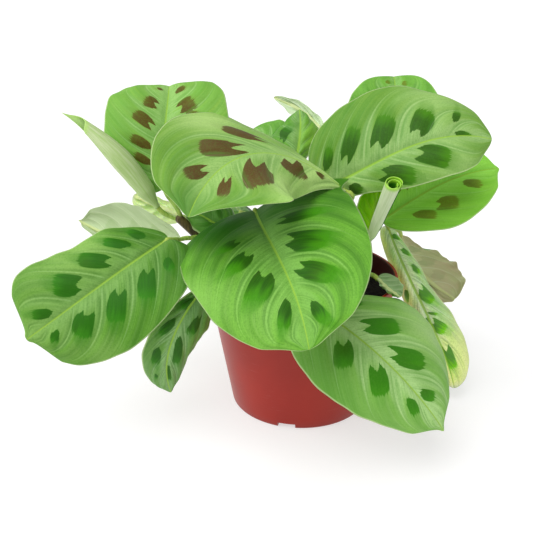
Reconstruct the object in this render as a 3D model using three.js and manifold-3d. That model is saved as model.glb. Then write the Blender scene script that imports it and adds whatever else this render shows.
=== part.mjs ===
// A potted prayer plant: a terracotta-red nursery pot, soil, five stems, petioles and leaves.
// Millimetres, +Z up. The origin is the centre of the pot's base, +X is the viewer's right, -Y the front.
import * as THREE from 'three';
import { mergeVertices } from 'three/addons/utils/BufferGeometryUtils.js';
import { ParametricGeometry } from 'three/addons/geometries/ParametricGeometry.js';
import Module from 'manifold-3d';

const wasm = await Module();
wasm.setup();

// Driving dimensions of the pot
const POT_HEIGHT = 86;
const RIM_RADIUS = 60;
const BASE_RADIUS = 43.6;
const WALL = 1.4;
const FLOOR = 1.6;
const LIP_HEIGHT = 4;
const LIP_STEP = 0.9;
const POT_SIDES = 48;
const NOTCH_COUNT = 4;
const NOTCH_WIDTH = 11;
const NOTCH_HEIGHT = 3.3;
const NOTCH_TURN = -102.6;
const CHANNEL_START = 24;
const COVER = 1.4;
const DRAIN_RADIUS = 3.5;

// Driving dimensions of the soil and the plant
const GAP = 0.3;
const SOIL_DEPTH_BELOW_RIM = 15;
const SOIL_MOUND = 3;
const LEAF_THICKNESS = 0.9;
const STEM_SIDES = 8;
const PETIOLE_SIDES = 6;
const PETIOLE_STEPS = 6;
const PETIOLE_RADIUS = 1.4;
const PETIOLE_RISE = 0.35;
const PETIOLE_APPROACH = 0.35;
const STEM_STEPS = 10;
const NARROWEST = 0.03;
const LEAF_GRID = [10, 8];
const SMALL_LEAF_GRID = [6, 4];
const ROLL_SIDES = 12;
const ROLL_WALL = 1.2;
const DRAIN_SIDES = 12;
const HALF_SAMPLES = 180;
const SLOPE_STEP = 0.01;

// Each stem: its radius and the points that it passes, from inside the soil to its top
const STEMS = {
  left: { radius: 2.8, path: [[-20, -4, 58], [-42, -8, 88], [-61, -10, 108], [-76, -10, 126]] },
  centre: { radius: 2.6, path: [[4, 0, 58], [7, -2, 88], [13, -6, 116], [20, -10, 130]] },
  shoot: { radius: 2.2, path: [[24, 0, 58], [30, -6, 86], [38, -19, 112]] },
  front: { radius: 2.4, path: [[-6, -24, 58], [-10, -28, 86], [-16, -31, 112]] },
  back: { radius: 2.4, path: [[12, 26, 58], [16, 33, 86], [19, 42, 112]] },
};

// Each leaf: the four points of its blade in mm, how far the midrib arches off the plane of those
// points, and where its petiole leaves which stem. "right" and "left" are the widest places of the
// two halves, seen on the upper face with the tip up.
const LEAVES = {
  front_centre: {
    base: [-29.5, -24, 134.5], tip: [-0.5, -121.5, 98], right: [-67, -63, 110.5],
    left: [31.5, -97, 136.5], arch: 9.5, sway: -3.5, twist: [18, -3], point: 0.4, wide: [0.45, 0.34],
    crown: 5, heart: 7, stem: 'front', from: 0.9,
  },
  left: {
    base: [-78.8, -27.6, 119], tip: [-152.5, -67.5, 73.8], right: [-145.2, -37.3, 113.8],
    left: [-88.6, -69, 76.3], arch: 6.6, sway: -0.8, twist: [-45, -17], point: 0.3, wide: [0.47, 0.665],
    heart: 8.4, stem: 'left', from: 0.72,
  },
  top_centre: {
    base: [25, -27.5, 147], tip: [-63.5, -76, 150], right: [-80, -24.5, 186],
    left: [-10, -78, 160], arch: 20.5, sway: 19.5, twist: [45, -45], point: 0.7, wide: [0.61, 0.575],
    crown: 1, heart: 0, stem: 'centre', from: 0.93,
  },
  top_left: {
    base: [-81.5, -4, 142], tip: [-80, 30.5, 194.7], right: [-44.5, 12, 186.5], left: [-116.5, 4.5, 178.2],
    arch: 10, sway: 0.7, twist: [1, -5], point: 0.3, wide: [0.6, 0.56], crown: 4,
    stem: 'left', from: 0.95,
  },
  right_top: {
    base: [10, 0.5, 137], tip: [106.5, -12.5, 174], right: [68.8, -28, 152],
    left: [39.8, 16, 195.3], arch: 13.5, sway: -4, twist: [-20, -14], point: 0.55,
    wide: [0.46, 0.645], heart: 9, stem: 'centre', from: 0.78,
  },
  right_low: {
    base: [51, 13.5, 115.3], tip: [123.5, 26.2, 145.4], right: [90, -1.6, 116.3],
    left: [77, 45, 153.2], arch: 7.3, sway: -2.8, twist: [0, -10], point: 0.6, wide: [0.51, 0.535],
    heart: 4, stem: 'shoot', from: 0.72,
  },
  top_right_back: {
    base: [52, 54.7, 136], tip: [64.5, 91.6, 191.6], right: [93.6, 71, 174.3],
    left: [31.3, 69.4, 176.3], arch: 5.5, sway: 4.2, twist: [3, -3], point: 0.33, wide: [0.44, 0.59],
    crown: 2.5, stem: 'back', from: 0.8,
  },
  bottom_right: {
    base: [1.3, -61.3, 93.7], tip: [74, -96.3, 34.3], right: [9.4, -91.3, 53.5],
    left: [69, -46.5, 78], arch: 15, sway: 1.2, twist: [11, 12], point: 0.515, wide: [0.465, 0.39],
    crown: 2, heart: 5.7, stem: 'front', from: 0.5,
  },
  right_droop: {
    base: [56.2, 23.9, 107.5], tip: [99.7, -11.4, 9.8], right: [68, 17.4, 67.7], left: [106.5, 0.3, 35.9],
    arch: 7.7, sway: -1.3, twist: [35, -5], point: 0.3, wide: [0.605, 0.43], crown: 2, heart: 4.5,
    stem: 'shoot', from: 0.58,
  },
  right_under: {
    base: [69.4, 52.9, 91.4], tip: [115.8, 75.5, 33.1], right: [119, 62.5, 59], left: [90, 63.6, 45.2],
    arch: 5.2, sway: -6.8, twist: [-1, -5], point: 0.53, wide: [0.607, 0.647],
    stem: 'back', from: 0.28,
  },
  lower_left: {
    base: [-55.8, -44, 97], tip: [-78.8, -46.3, 27.8], right: [-95, -46.5, 39.5],
    left: [-55, -37.3, 69.6], arch: 10, sway: 12.5, twist: [-11, 1], point: 0.434, wide: [0.33, 0.68],
    crown: 1.2, heart: 5.2, stem: 'front', from: 0.42,
  },
  left_under: {
    base: [-76.7, 18.3, 101], tip: [-150.3, 60, 99.4], right: [-114.8, 29.8, 91.3],
    left: [-114.5, 45, 116.7], arch: 6.8, sway: 7.5, twist: [2, 0], point: 0.583, wide: [0.535, 0.455],
    stem: 'left', from: 0.5,
  },
  left_small: {
    base: [-77, 30, 113], tip: [-112, 60, 117], right: [-99, 45, 104], left: [-94, 52, 119],
    arch: 3, stem: 'left', from: 0.6,
  },
  centre_back: {
    base: [-4.6, 31, 142.8], tip: [-0.5, 57.8, 176.2], right: [5.9, 45.2, 160.6],
    left: [-18.5, 50.6, 156], arch: 6, sway: 2.9, point: 0.9, wide: [0.58, 0.6],
    stem: 'centre', from: 0.62,
  },
  centre_curl: {
    base: [19.9, 56.5, 151.8], tip: [-16.8, 84, 178.9], right: [4.7, 69.7, 167.4],
    left: [9, 78, 175.7], arch: 4.4, sway: -7, point: 0.6, wide: [0.55, 0.5], crown: 1, heart: 2,
    stem: 'back', from: 0.97,
  },
  centre_dark: {
    base: [-7.6, 62, 133.8], tip: [-31.3, 84.3, 157], right: [-4.8, 72, 161.5],
    left: [-24.6, 72, 145.7], arch: 4.4, point: 0.61, wide: [0.57, 0.525], crown: 1, heart: 2,
    stem: 'back', from: 0.78,
  },
  inner_left: {
    base: [-39, -14, 113], tip: [-70, -5, 130], right: [-47, 4, 129], left: [-60, -14, 115.5],
    arch: 3, stem: 'front', from: 0.7,
  },
  back_left: {
    base: [-38, 20, 119], tip: [-56, 120, 63], right: [-25, 80, 82], left: [-71, 70, 84],
    arch: 12, stem: 'back', from: 0.68,
  },
  back_centre: {
    base: [-6, 40, 110], tip: [4, 120, 45], right: [17, 85, 87], left: [-25, 85, 72],
    arch: 12, stem: 'back', from: 0.58,
  },
  back_right: {
    base: [25, 48, 109], tip: [51, 110, 58], right: [49, 75, 98], left: [13, 80, 74],
    arch: 12, stem: 'back', from: 0.48,
  },
  rim_leaf: {
    base: [45, -16, 89], tip: [55, -44, 89], right: [56, -26, 93], left: [48, -36, 90],
    arch: 2, crown: 1, heart: 1, stem: 'shoot', from: 0.4,
  },
  sheath: {
    base: [39, -8, 112], tip: [45, -6, 144], right: [49, -4, 128], left: [32, -6, 131],
    arch: 2, crown: 1, heart: 1, stem: 'shoot', from: 0.86,
  },
};
const PALE_LEAVES = ['left_under', 'right_under', 'centre_curl'];
const SMALL_LEAVES = [
  'left_small', 'centre_back', 'centre_curl', 'centre_dark', 'inner_left', 'rim_leaf', 'sheath',
];

// Rolled leaves: base, tip, radius at the base, the middle and the tip, the depth of the open end, and
// how far the middle bows out
const ROLLS = {
  new_roll: { base: [38.3, -19.4, 112.4], tip: [49, -36, 155], radii: [2.2, 4.2, 5.4], mouth: 14 },
  left_rolled: {
    base: [-86, -10, 132], tip: [-134.4, -10, 188.3], radii: [2.4, 6.3, 2.4], mouth: 5, bow: [3, -5, 5],
    stem: 'left', from: 0.72,
  },
};

// Materials: one for each finish
const COLOURS = {
  pot: { color: 0x9a3328, roughness: 0.42, metalness: 0 },
  soil: { color: 0x17110d, roughness: 0.95, metalness: 0 },
  leaf: { color: 0x62a33c, roughness: 0.45, metalness: 0 },
  paleLeaf: { color: 0xaec79a, roughness: 0.5, metalness: 0 },
  stem: { color: 0x5c4a20, roughness: 0.6, metalness: 0 },
  petiole: { color: 0x8a9a3c, roughness: 0.55, metalness: 0 },
};

const group = new THREE.Group();

function addMesh(name, geometry, finish) {
  const mesh = new THREE.Mesh(geometry, new THREE.MeshStandardMaterial(COLOURS[finish]));
  mesh.name = name;
  group.add(mesh);
}

// A geometry as a solid: only positions are kept, shared corners merged and empty faces dropped
function toSolid(geometry) {
  const bare = geometry.clone();
  bare.deleteAttribute('normal');
  bare.deleteAttribute('uv');
  const merged = mergeVertices(bare, 1e-4);
  const corners = merged.index.array;
  const kept = [];
  for (let i = 0; i < corners.length; i += 3) {
    const [a, b, c] = [corners[i], corners[i + 1], corners[i + 2]];
    if (a !== b && b !== c && c !== a) {
      kept.push(a, b, c);
    }
  }
  return new wasm.Manifold(new wasm.Mesh({
    numProp: 3,
    vertProperties: new Float32Array(merged.attributes.position.array),
    triVerts: new Uint32Array(kept),
  }));
}

function toGeometry(solid) {
  const mesh = solid.getMesh();
  const geometry = new THREE.BufferGeometry();
  const positions = new Float32Array(mesh.vertProperties);
  geometry.setAttribute('position', new THREE.BufferAttribute(positions, 3));
  geometry.setIndex(new THREE.BufferAttribute(new Uint32Array(mesh.triVerts), 1));
  geometry.computeVertexNormals();
  return geometry;
}

// The largest of a solid's separate bodies
function largest(solid) {
  return solid.decompose().reduce((a, b) => (b.volume() > a.volume() ? b : a));
}

function lathe(profile, sides) {
  const points = profile.map(([r, z]) => new THREE.Vector2(r, z));
  return new THREE.LatheGeometry(points, sides).rotateX(Math.PI / 2);
}

// A tube with a flat end at each end of its curve
function tube(curve, radius, sides, steps) {
  const ring = new THREE.Shape();
  for (let i = 0; i < sides; i += 1) {
    const angle = (2 * Math.PI * i) / sides;
    const x = radius * Math.cos(angle);
    const y = radius * Math.sin(angle);
    if (i === 0) {
      ring.moveTo(x, y);
    } else {
      ring.lineTo(x, y);
    }
  }
  return new THREE.ExtrudeGeometry(ring, { steps, extrudePath: curve, bevelEnabled: false });
}

const vector = ([x, y, z]) => new THREE.Vector3(x, y, z);

// The midrib, the blade's facing direction and how far each half reaches
function bladeOf(leaf) {
  const base = vector(leaf.base);
  const tip = vector(leaf.tip);
  const along = tip.clone().sub(base);
  const across = vector(leaf.right).sub(vector(leaf.left));
  const facing = across.clone().cross(along).normalize();
  const sideways = along.clone().normalize().cross(facing);
  const middle = base.clone().addScaledVector(along, 0.5);
  middle.addScaledVector(facing, 2 * leaf.arch);
  middle.addScaledVector(sideways, 2 * (leaf.sway ?? 0));
  const blade = { leaf, midrib: new THREE.QuadraticBezierCurve3(base, middle, tip), facing };
  blade.halves = [vector(leaf.left), vector(leaf.right)].map((edge, i) => halfOf(blade, edge, i));
  return blade;
}

// The midrib's point, its direction, the blade's upward direction there and its sideways direction
function frameAt(blade, u) {
  const centre = blade.midrib.getPoint(u);
  const along = blade.midrib.getTangent(u).normalize();
  const up = blade.facing.clone().addScaledVector(along, -blade.facing.dot(along)).normalize();
  const side = along.clone().cross(up);
  return { centre, along, up, side };
}

// Where along the midrib a half is widest, and that place's offset sideways and upwards
function halfOf(blade, edge, index) {
  let best = Infinity;
  let half = null;
  for (let i = 0; i <= HALF_SAMPLES; i += 1) {
    const u = 0.05 + (0.9 * i) / HALF_SAMPLES;
    const frame = frameAt(blade, u);
    const offset = edge.clone().sub(frame.centre);
    const miss = Math.abs(offset.dot(frame.along));
    if (miss < best) {
      best = miss;
      half = { at: u, reach: offset.dot(frame.side), rise: offset.dot(frame.up) };
    }
  }
  const point = blade.leaf.point ?? 0.5;
  const widest = blade.leaf.wide ? blade.leaf.wide[index] : THREE.MathUtils.clamp(half.at, 0.35, 0.62);
  const known = THREE.MathUtils.clamp(half.at, 0.3, 0.7);
  const blunt = (point * widest) / (1 - widest);
  half.twist = THREE.MathUtils.degToRad(blade.leaf.twist ? blade.leaf.twist[index] : 0);
  half.width = (u) => {
    const share = (u ** blunt * (1 - u) ** point) / (known ** blunt * (1 - known) ** point);
    return Math.max(share, NARROWEST);
  };
  return half;
}

// A point of the blade: u runs from base to tip, v from -1 on the left margin to 1 on the right.
// Each half bends away from the midrib as the square of v, with a low crown between rib and margin.
function bladePoint(blade, u, v) {
  const { crown = 3, heart = 5 } = blade.leaf;
  const frame = frameAt(blade, u);
  const half = blade.halves[v < 0 ? 0 : 1];
  const out = Math.abs(v);
  const width = half.width(u);
  const up = frame.up.clone().applyAxisAngle(frame.along, half.twist * (u - half.at));
  const side = frame.along.clone().cross(up);
  return frame.centre
    .addScaledVector(side, width * out * half.reach)
    .addScaledVector(up, width * (half.rise * out ** 2 + crown * 4 * out * (1 - out)))
    .addScaledVector(frame.along, -heart * out * (1 - u) ** 3 * Math.sqrt(width));
}

// The blade as a thin closed solid: a section runs over the upper face and back along the lower one,
// and closes to a point at the base and at the tip
function bladeSolid(blade, rows, columns) {
  const turns = 2 * columns;
  const surface = (round, t, target) => {
    if (t === 0 || t === 1) {
      target.copy(blade.midrib.getPoint(t));
      return;
    }
    const u = (1 - Math.cos(Math.PI * t)) / 2;
    const k = Math.round(round * turns);
    const upper = k <= columns;
    const v = upper ? -1 + (2 * k) / columns : 3 - (2 * k) / columns;
    const ahead = bladePoint(blade, u + SLOPE_STEP / 2, v).sub(bladePoint(blade, u - SLOPE_STEP / 2, v));
    const right = Math.min(v + SLOPE_STEP, 1);
    const left = Math.max(v - SLOPE_STEP, -1);
    const beside = bladePoint(blade, u, right).sub(bladePoint(blade, u, left));
    const normal = beside.cross(ahead).normalize();
    const depth = (LEAF_THICKNESS / 2) * Math.sqrt(Math.max(0, 1 - v * v)) * (upper ? 1 : -1);
    target.copy(bladePoint(blade, u, v)).addScaledVector(normal, depth);
  };
  return outward(new ParametricGeometry(surface, turns, rows));
}

// A closed surface as a solid with its faces pointing out
function outward(geometry) {
  const solid = toSolid(geometry);
  if (solid.volume() >= 0) {
    return solid;
  }
  const turned = geometry.clone();
  const corners = Array.from(geometry.index.array);
  for (let i = 0; i < corners.length; i += 3) {
    [corners[i + 1], corners[i + 2]] = [corners[i + 2], corners[i + 1]];
  }
  turned.setIndex(corners);
  return toSolid(turned);
}

// A petiole leaves its stem upwards and comes to the blade's base along the midrib
function petioleCurve(blade, stem) {
  const start = stem.curve.getPoint(blade.leaf.from);
  const base = vector(blade.leaf.base);
  const into = blade.midrib.getTangent(0).normalize();
  const reach = start.distanceTo(base);
  const end = base.clone().addScaledVector(into, -GAP);
  const rise = start.clone().add(new THREE.Vector3(0, 0, reach * PETIOLE_RISE));
  const approach = end.clone().addScaledVector(into, -reach * PETIOLE_APPROACH);
  return new THREE.CubicBezierCurve3(start, rise, approach, end);
}

// The pot: a turned cup with a lip, less its notches, the channels behind them and the drain holes
function potSolid() {
  const slope = (RIM_RADIUS - LIP_STEP - BASE_RADIUS) / POT_HEIGHT;
  const outer = (z) => BASE_RADIUS + slope * z;
  const lipFoot = POT_HEIGHT - LIP_HEIGHT;
  const body = toSolid(lathe([
    [0, 0], [outer(0), 0], [outer(lipFoot), lipFoot], [outer(lipFoot) + LIP_STEP, lipFoot + LIP_STEP],
    [RIM_RADIUS, POT_HEIGHT - LIP_STEP], [RIM_RADIUS - LIP_STEP, POT_HEIGHT], [0, POT_HEIGHT],
  ], POT_SIDES));
  let hollow = toSolid(lathe([
    [0, FLOOR], [outer(FLOOR) - WALL, FLOOR], [outer(POT_HEIGHT) - WALL, POT_HEIGHT],
    [outer(POT_HEIGHT) - WALL, POT_HEIGHT + 1], [0, POT_HEIGHT + 1],
  ], POT_SIDES));
  let cuts = null;
  for (let i = 0; i < NOTCH_COUNT; i += 1) {
    const turn = THREE.MathUtils.degToRad(NOTCH_TURN + (360 * i) / NOTCH_COUNT);
    const end = BASE_RADIUS + 4;
    const length = end - CHANNEL_START;
    const centre = CHANNEL_START + length / 2;
    const coverHeight = NOTCH_HEIGHT + COVER;
    const cover = new THREE.BoxGeometry(length + 2 * COVER, NOTCH_WIDTH + 2 * COVER, 2 * coverHeight);
    hollow = hollow.subtract(toSolid(cover.translate(centre, 0, 0).rotateZ(turn)));
    const channel = new THREE.BoxGeometry(length, NOTCH_WIDTH, 2 * NOTCH_HEIGHT);
    const drain = new THREE.CylinderGeometry(DRAIN_RADIUS, DRAIN_RADIUS, 4 * coverHeight, DRAIN_SIDES);
    drain.rotateX(Math.PI / 2).translate(CHANNEL_START + 1.6 * DRAIN_RADIUS, 0, 0).rotateZ(turn);
    const cut = toSolid(channel.translate(centre, 0, 0).rotateZ(turn)).add(toSolid(drain));
    cuts = cuts ? cuts.add(cut) : cut;
  }
  return largest(body.subtract(hollow).subtract(cuts));
}

// The soil fills the pot from the top of the channel covers to below the rim, with a low mound
function soilSolid(holes) {
  const slope = (RIM_RADIUS - LIP_STEP - BASE_RADIUS) / POT_HEIGHT;
  const inner = (z) => BASE_RADIUS + slope * z - WALL - GAP;
  const bottom = NOTCH_HEIGHT + COVER + GAP;
  const top = POT_HEIGHT - SOIL_DEPTH_BELOW_RIM;
  const soil = toSolid(lathe([
    [0, bottom], [inner(bottom), bottom], [inner(top), top], [0.8 * inner(top), top + 0.4 * SOIL_MOUND],
    [0.4 * inner(top), top + 0.85 * SOIL_MOUND], [0, top + SOIL_MOUND],
  ], POT_SIDES));
  return largest(holes.reduce((rest, hole) => rest.subtract(hole), soil));
}

// A rolled leaf: a round spindle along a line that may bow, with an open mouth at its tip
function rollSolid(roll) {
  const base = vector(roll.base);
  const along = vector(roll.tip).sub(base);
  const length = along.length();
  const [foot, waist, head] = roll.radii;
  const between = (from, to) => 0.3 * from + 0.7 * to;
  const geometry = lathe([
    [0, 0], [foot, 0], [between(foot, waist), length / 4], [waist, length / 2],
    [between(head, waist), (3 * length) / 4], [head, length], [head - ROLL_WALL, length],
    [0, length - roll.mouth],
  ], ROLL_SIDES);
  const turn = new THREE.Quaternion().setFromUnitVectors(new THREE.Vector3(0, 0, 1), along.normalize());
  const bow = vector(roll.bow ?? [0, 0, 0]);
  const places = geometry.attributes.position;
  for (let i = 0; i < places.count; i += 1) {
    const point = new THREE.Vector3().fromBufferAttribute(places, i);
    const share = point.z / length;
    point.applyQuaternion(turn).addScaledVector(bow, 4 * share * (1 - share));
    places.setXYZ(i, point.x, point.y, point.z);
  }
  geometry.translate(base.x, base.y, base.z);
  return outward(geometry);
}

const stems = {};
for (const [name, { radius, path }] of Object.entries(STEMS)) {
  const curve = new THREE.CatmullRomCurve3(path.map(vector));
  const solid = toSolid(tube(curve, radius, STEM_SIDES, STEM_STEPS));
  const beyond = curve.getPoint(1).addScaledVector(curve.getTangent(1), GAP);
  const longer = new THREE.CatmullRomCurve3([...path.map(vector), beyond]);
  const jacket = toSolid(tube(longer, radius + GAP, STEM_SIDES, STEM_STEPS));
  const foot = toSolid(lathe([[0, -2], [radius + 2 * GAP, -2], [radius + 2 * GAP, 2], [0, 2]], STEM_SIDES)
    .translate(...path[0]));
  stems[name] = { curve, solid, jacket, hole: jacket.add(foot) };
  addMesh(`stem_${name}`, toGeometry(solid), 'stem');
}

addMesh('pot', toGeometry(potSolid()), 'pot');
addMesh('soil', toGeometry(soilSolid(Object.values(stems).map((stem) => stem.hole))), 'soil');

const jackets = Object.values(stems).map((stem) => stem.jacket);
const clearOfStems = (solid) => largest(jackets.reduce((rest, jacket) => rest.subtract(jacket), solid));

function addPetiole(name, blade, stem) {
  const solid = toSolid(tube(petioleCurve(blade, stem), PETIOLE_RADIUS, PETIOLE_SIDES, PETIOLE_STEPS));
  addMesh(`petiole_${name}`, toGeometry(clearOfStems(solid)), 'petiole');
}

for (const [name, leaf] of Object.entries(LEAVES)) {
  const blade = bladeOf(leaf);
  const [rows, columns] = SMALL_LEAVES.includes(name) ? SMALL_LEAF_GRID : LEAF_GRID;
  const solid = bladeSolid(blade, rows, columns);
  const finish = PALE_LEAVES.includes(name) ? 'paleLeaf' : 'leaf';
  addMesh(`leaf_${name}`, toGeometry(clearOfStems(solid)), finish);
  addPetiole(name, blade, stems[leaf.stem]);
}

for (const [name, roll] of Object.entries(ROLLS)) {
  addMesh(`leaf_${name}`, toGeometry(clearOfStems(rollSolid(roll))), 'paleLeaf');
  if (roll.stem) {
    const rolled = { leaf: roll, midrib: new THREE.LineCurve3(vector(roll.base), vector(roll.tip)) };
    addPetiole(name, rolled, stems[roll.stem]);
  }
}

export default group;
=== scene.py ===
"""A potted prayer plant: broad marked leaves on slim petioles in a terracotta-red nursery pot."""
import math
import bpy
import numpy as np
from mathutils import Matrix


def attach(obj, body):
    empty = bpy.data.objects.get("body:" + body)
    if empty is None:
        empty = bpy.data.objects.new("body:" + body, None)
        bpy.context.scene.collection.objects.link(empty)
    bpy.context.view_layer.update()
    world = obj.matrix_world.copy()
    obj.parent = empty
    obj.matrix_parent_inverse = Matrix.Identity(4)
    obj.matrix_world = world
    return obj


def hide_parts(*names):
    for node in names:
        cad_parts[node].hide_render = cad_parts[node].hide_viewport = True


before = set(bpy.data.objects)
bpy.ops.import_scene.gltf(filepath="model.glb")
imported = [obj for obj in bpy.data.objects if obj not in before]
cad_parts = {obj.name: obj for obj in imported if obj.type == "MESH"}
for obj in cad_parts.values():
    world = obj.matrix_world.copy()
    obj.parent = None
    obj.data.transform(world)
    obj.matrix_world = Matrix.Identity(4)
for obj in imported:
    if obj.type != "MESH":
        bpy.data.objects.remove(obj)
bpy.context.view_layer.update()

MM = 0.001

# The pot, in millimetres
POT_HEIGHT = 86.0
RIM_RADIUS = 60.0
BASE_RADIUS = 43.6
POT_WALL = 1.4
LIP_HEIGHT = 4.0
LIP_STEP = 0.9
NOTCH_COUNT = 4
NOTCH_WIDTH = 11.0
NOTCH_HEIGHT = 3.3
NOTCH_TURN = -102.6
CHANNEL_START = 24.0
CHANNEL_COVER = 1.4
DRAIN_RADIUS = 3.5
DRAIN_SIDES = 24
POT_SEGMENTS = 192
POT_FLOOR = NOTCH_HEIGHT + CHANNEL_COVER
POT_SLOPE = (RIM_RADIUS - LIP_STEP - BASE_RADIUS) / POT_HEIGHT

# The compost
SOIL_TOP = 71.0
SOIL_MOUND = 3.0
SOIL_GAP = 0.3
SOIL_ROWS = 80
SOIL_COLUMNS = 160

# The leaves
BLADE_THICKNESS = 0.42
BLADE_ROWS = 120
BLADE_COLUMNS = 80
SMALL_ROWS = 56
SMALL_COLUMNS = 40
NARROWEST = 0.03
HALF_SAMPLES = 181
NIB_START = 0.93
NIB_LENGTH = 0.06
KEEL = 1.5
SMALL_KEEL = 0.5
KEEL_WIDTH = 1.1
SWELL_HEIGHT = 1.25
GROOVE_DEPTH = 0.75
GROOVE_WIDTH = 1.5

# Makes a blade's bend the furthest that its midrib is shifted sideways, in millimetres
FULL_BEND = 10.39

# How far to each side of a place the surface is sampled to find the way that it faces
STEP = 0.002

# The petioles and stems: radius, swellings and the spacing of the stems' rings, in millimetres, and
# how far a petiole is led on from each of its ends, as a share of its reach
PETIOLE_RADIUS = 1.05
FOOT_SWELL = 0.9
FOOT_FLATTEN = 0.25
JOINT_SWELL = 0.42
PETIOLE_PULL = 0.35
PETIOLE_POINTS = 40
PETIOLE_SIDES = 14
STEM_POINTS = 90
STEM_SIDES = 20
RING_GAP = 22.0
RING_SWELL = 0.45

# Camera, fitted by a program to points of the pot's outline in the picture
CAMERA_AIM = (-21.7, 0.0, 90.0)
CAMERA_PITCH = 22.3
CAMERA_DISTANCE = 520.0
CAMERA_LENS = 56.47

# Light: a wide soft source and the direction that it comes from, the white surround, and a weak light
# from the left, which gives the pot its pale edge
SUN_STRENGTH = 2.25
SUN_WIDTH = 55.0
SUN_FROM = (-0.35, -0.35, 0.87)
WORLD_STRENGTH = 0.55
SIDE_STRENGTH = 0.7
SIDE_WIDTH = 30.0
SIDE_FROM = (-0.93, 0.1, 0.35)

# The floor lies just below the pot
FLOOR_HEIGHT = -0.2

# Each stem: its radius, and the points that it passes from inside the compost to its top
STEMS = {
    "left": (3.1, [(-20, -4, 58), (-40, -8, 89), (-58, -10, 109), (-75, -10, 126.5)]),
    "centre": (2.6, [(4, 0, 58), (7, -2, 88), (13, -6, 116), (20, -10, 130)]),
    "shoot": (2.2, [(24, 0, 58), (30, -6, 86), (38, -19, 112)]),
    "front": (2.4, [(-6, -24, 58), (-10, -28, 86), (-16, -31, 112)]),
    "back": (2.4, [(12, 26, 58), (16, 33, 86), (19, 42, 112)]),
}

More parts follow.
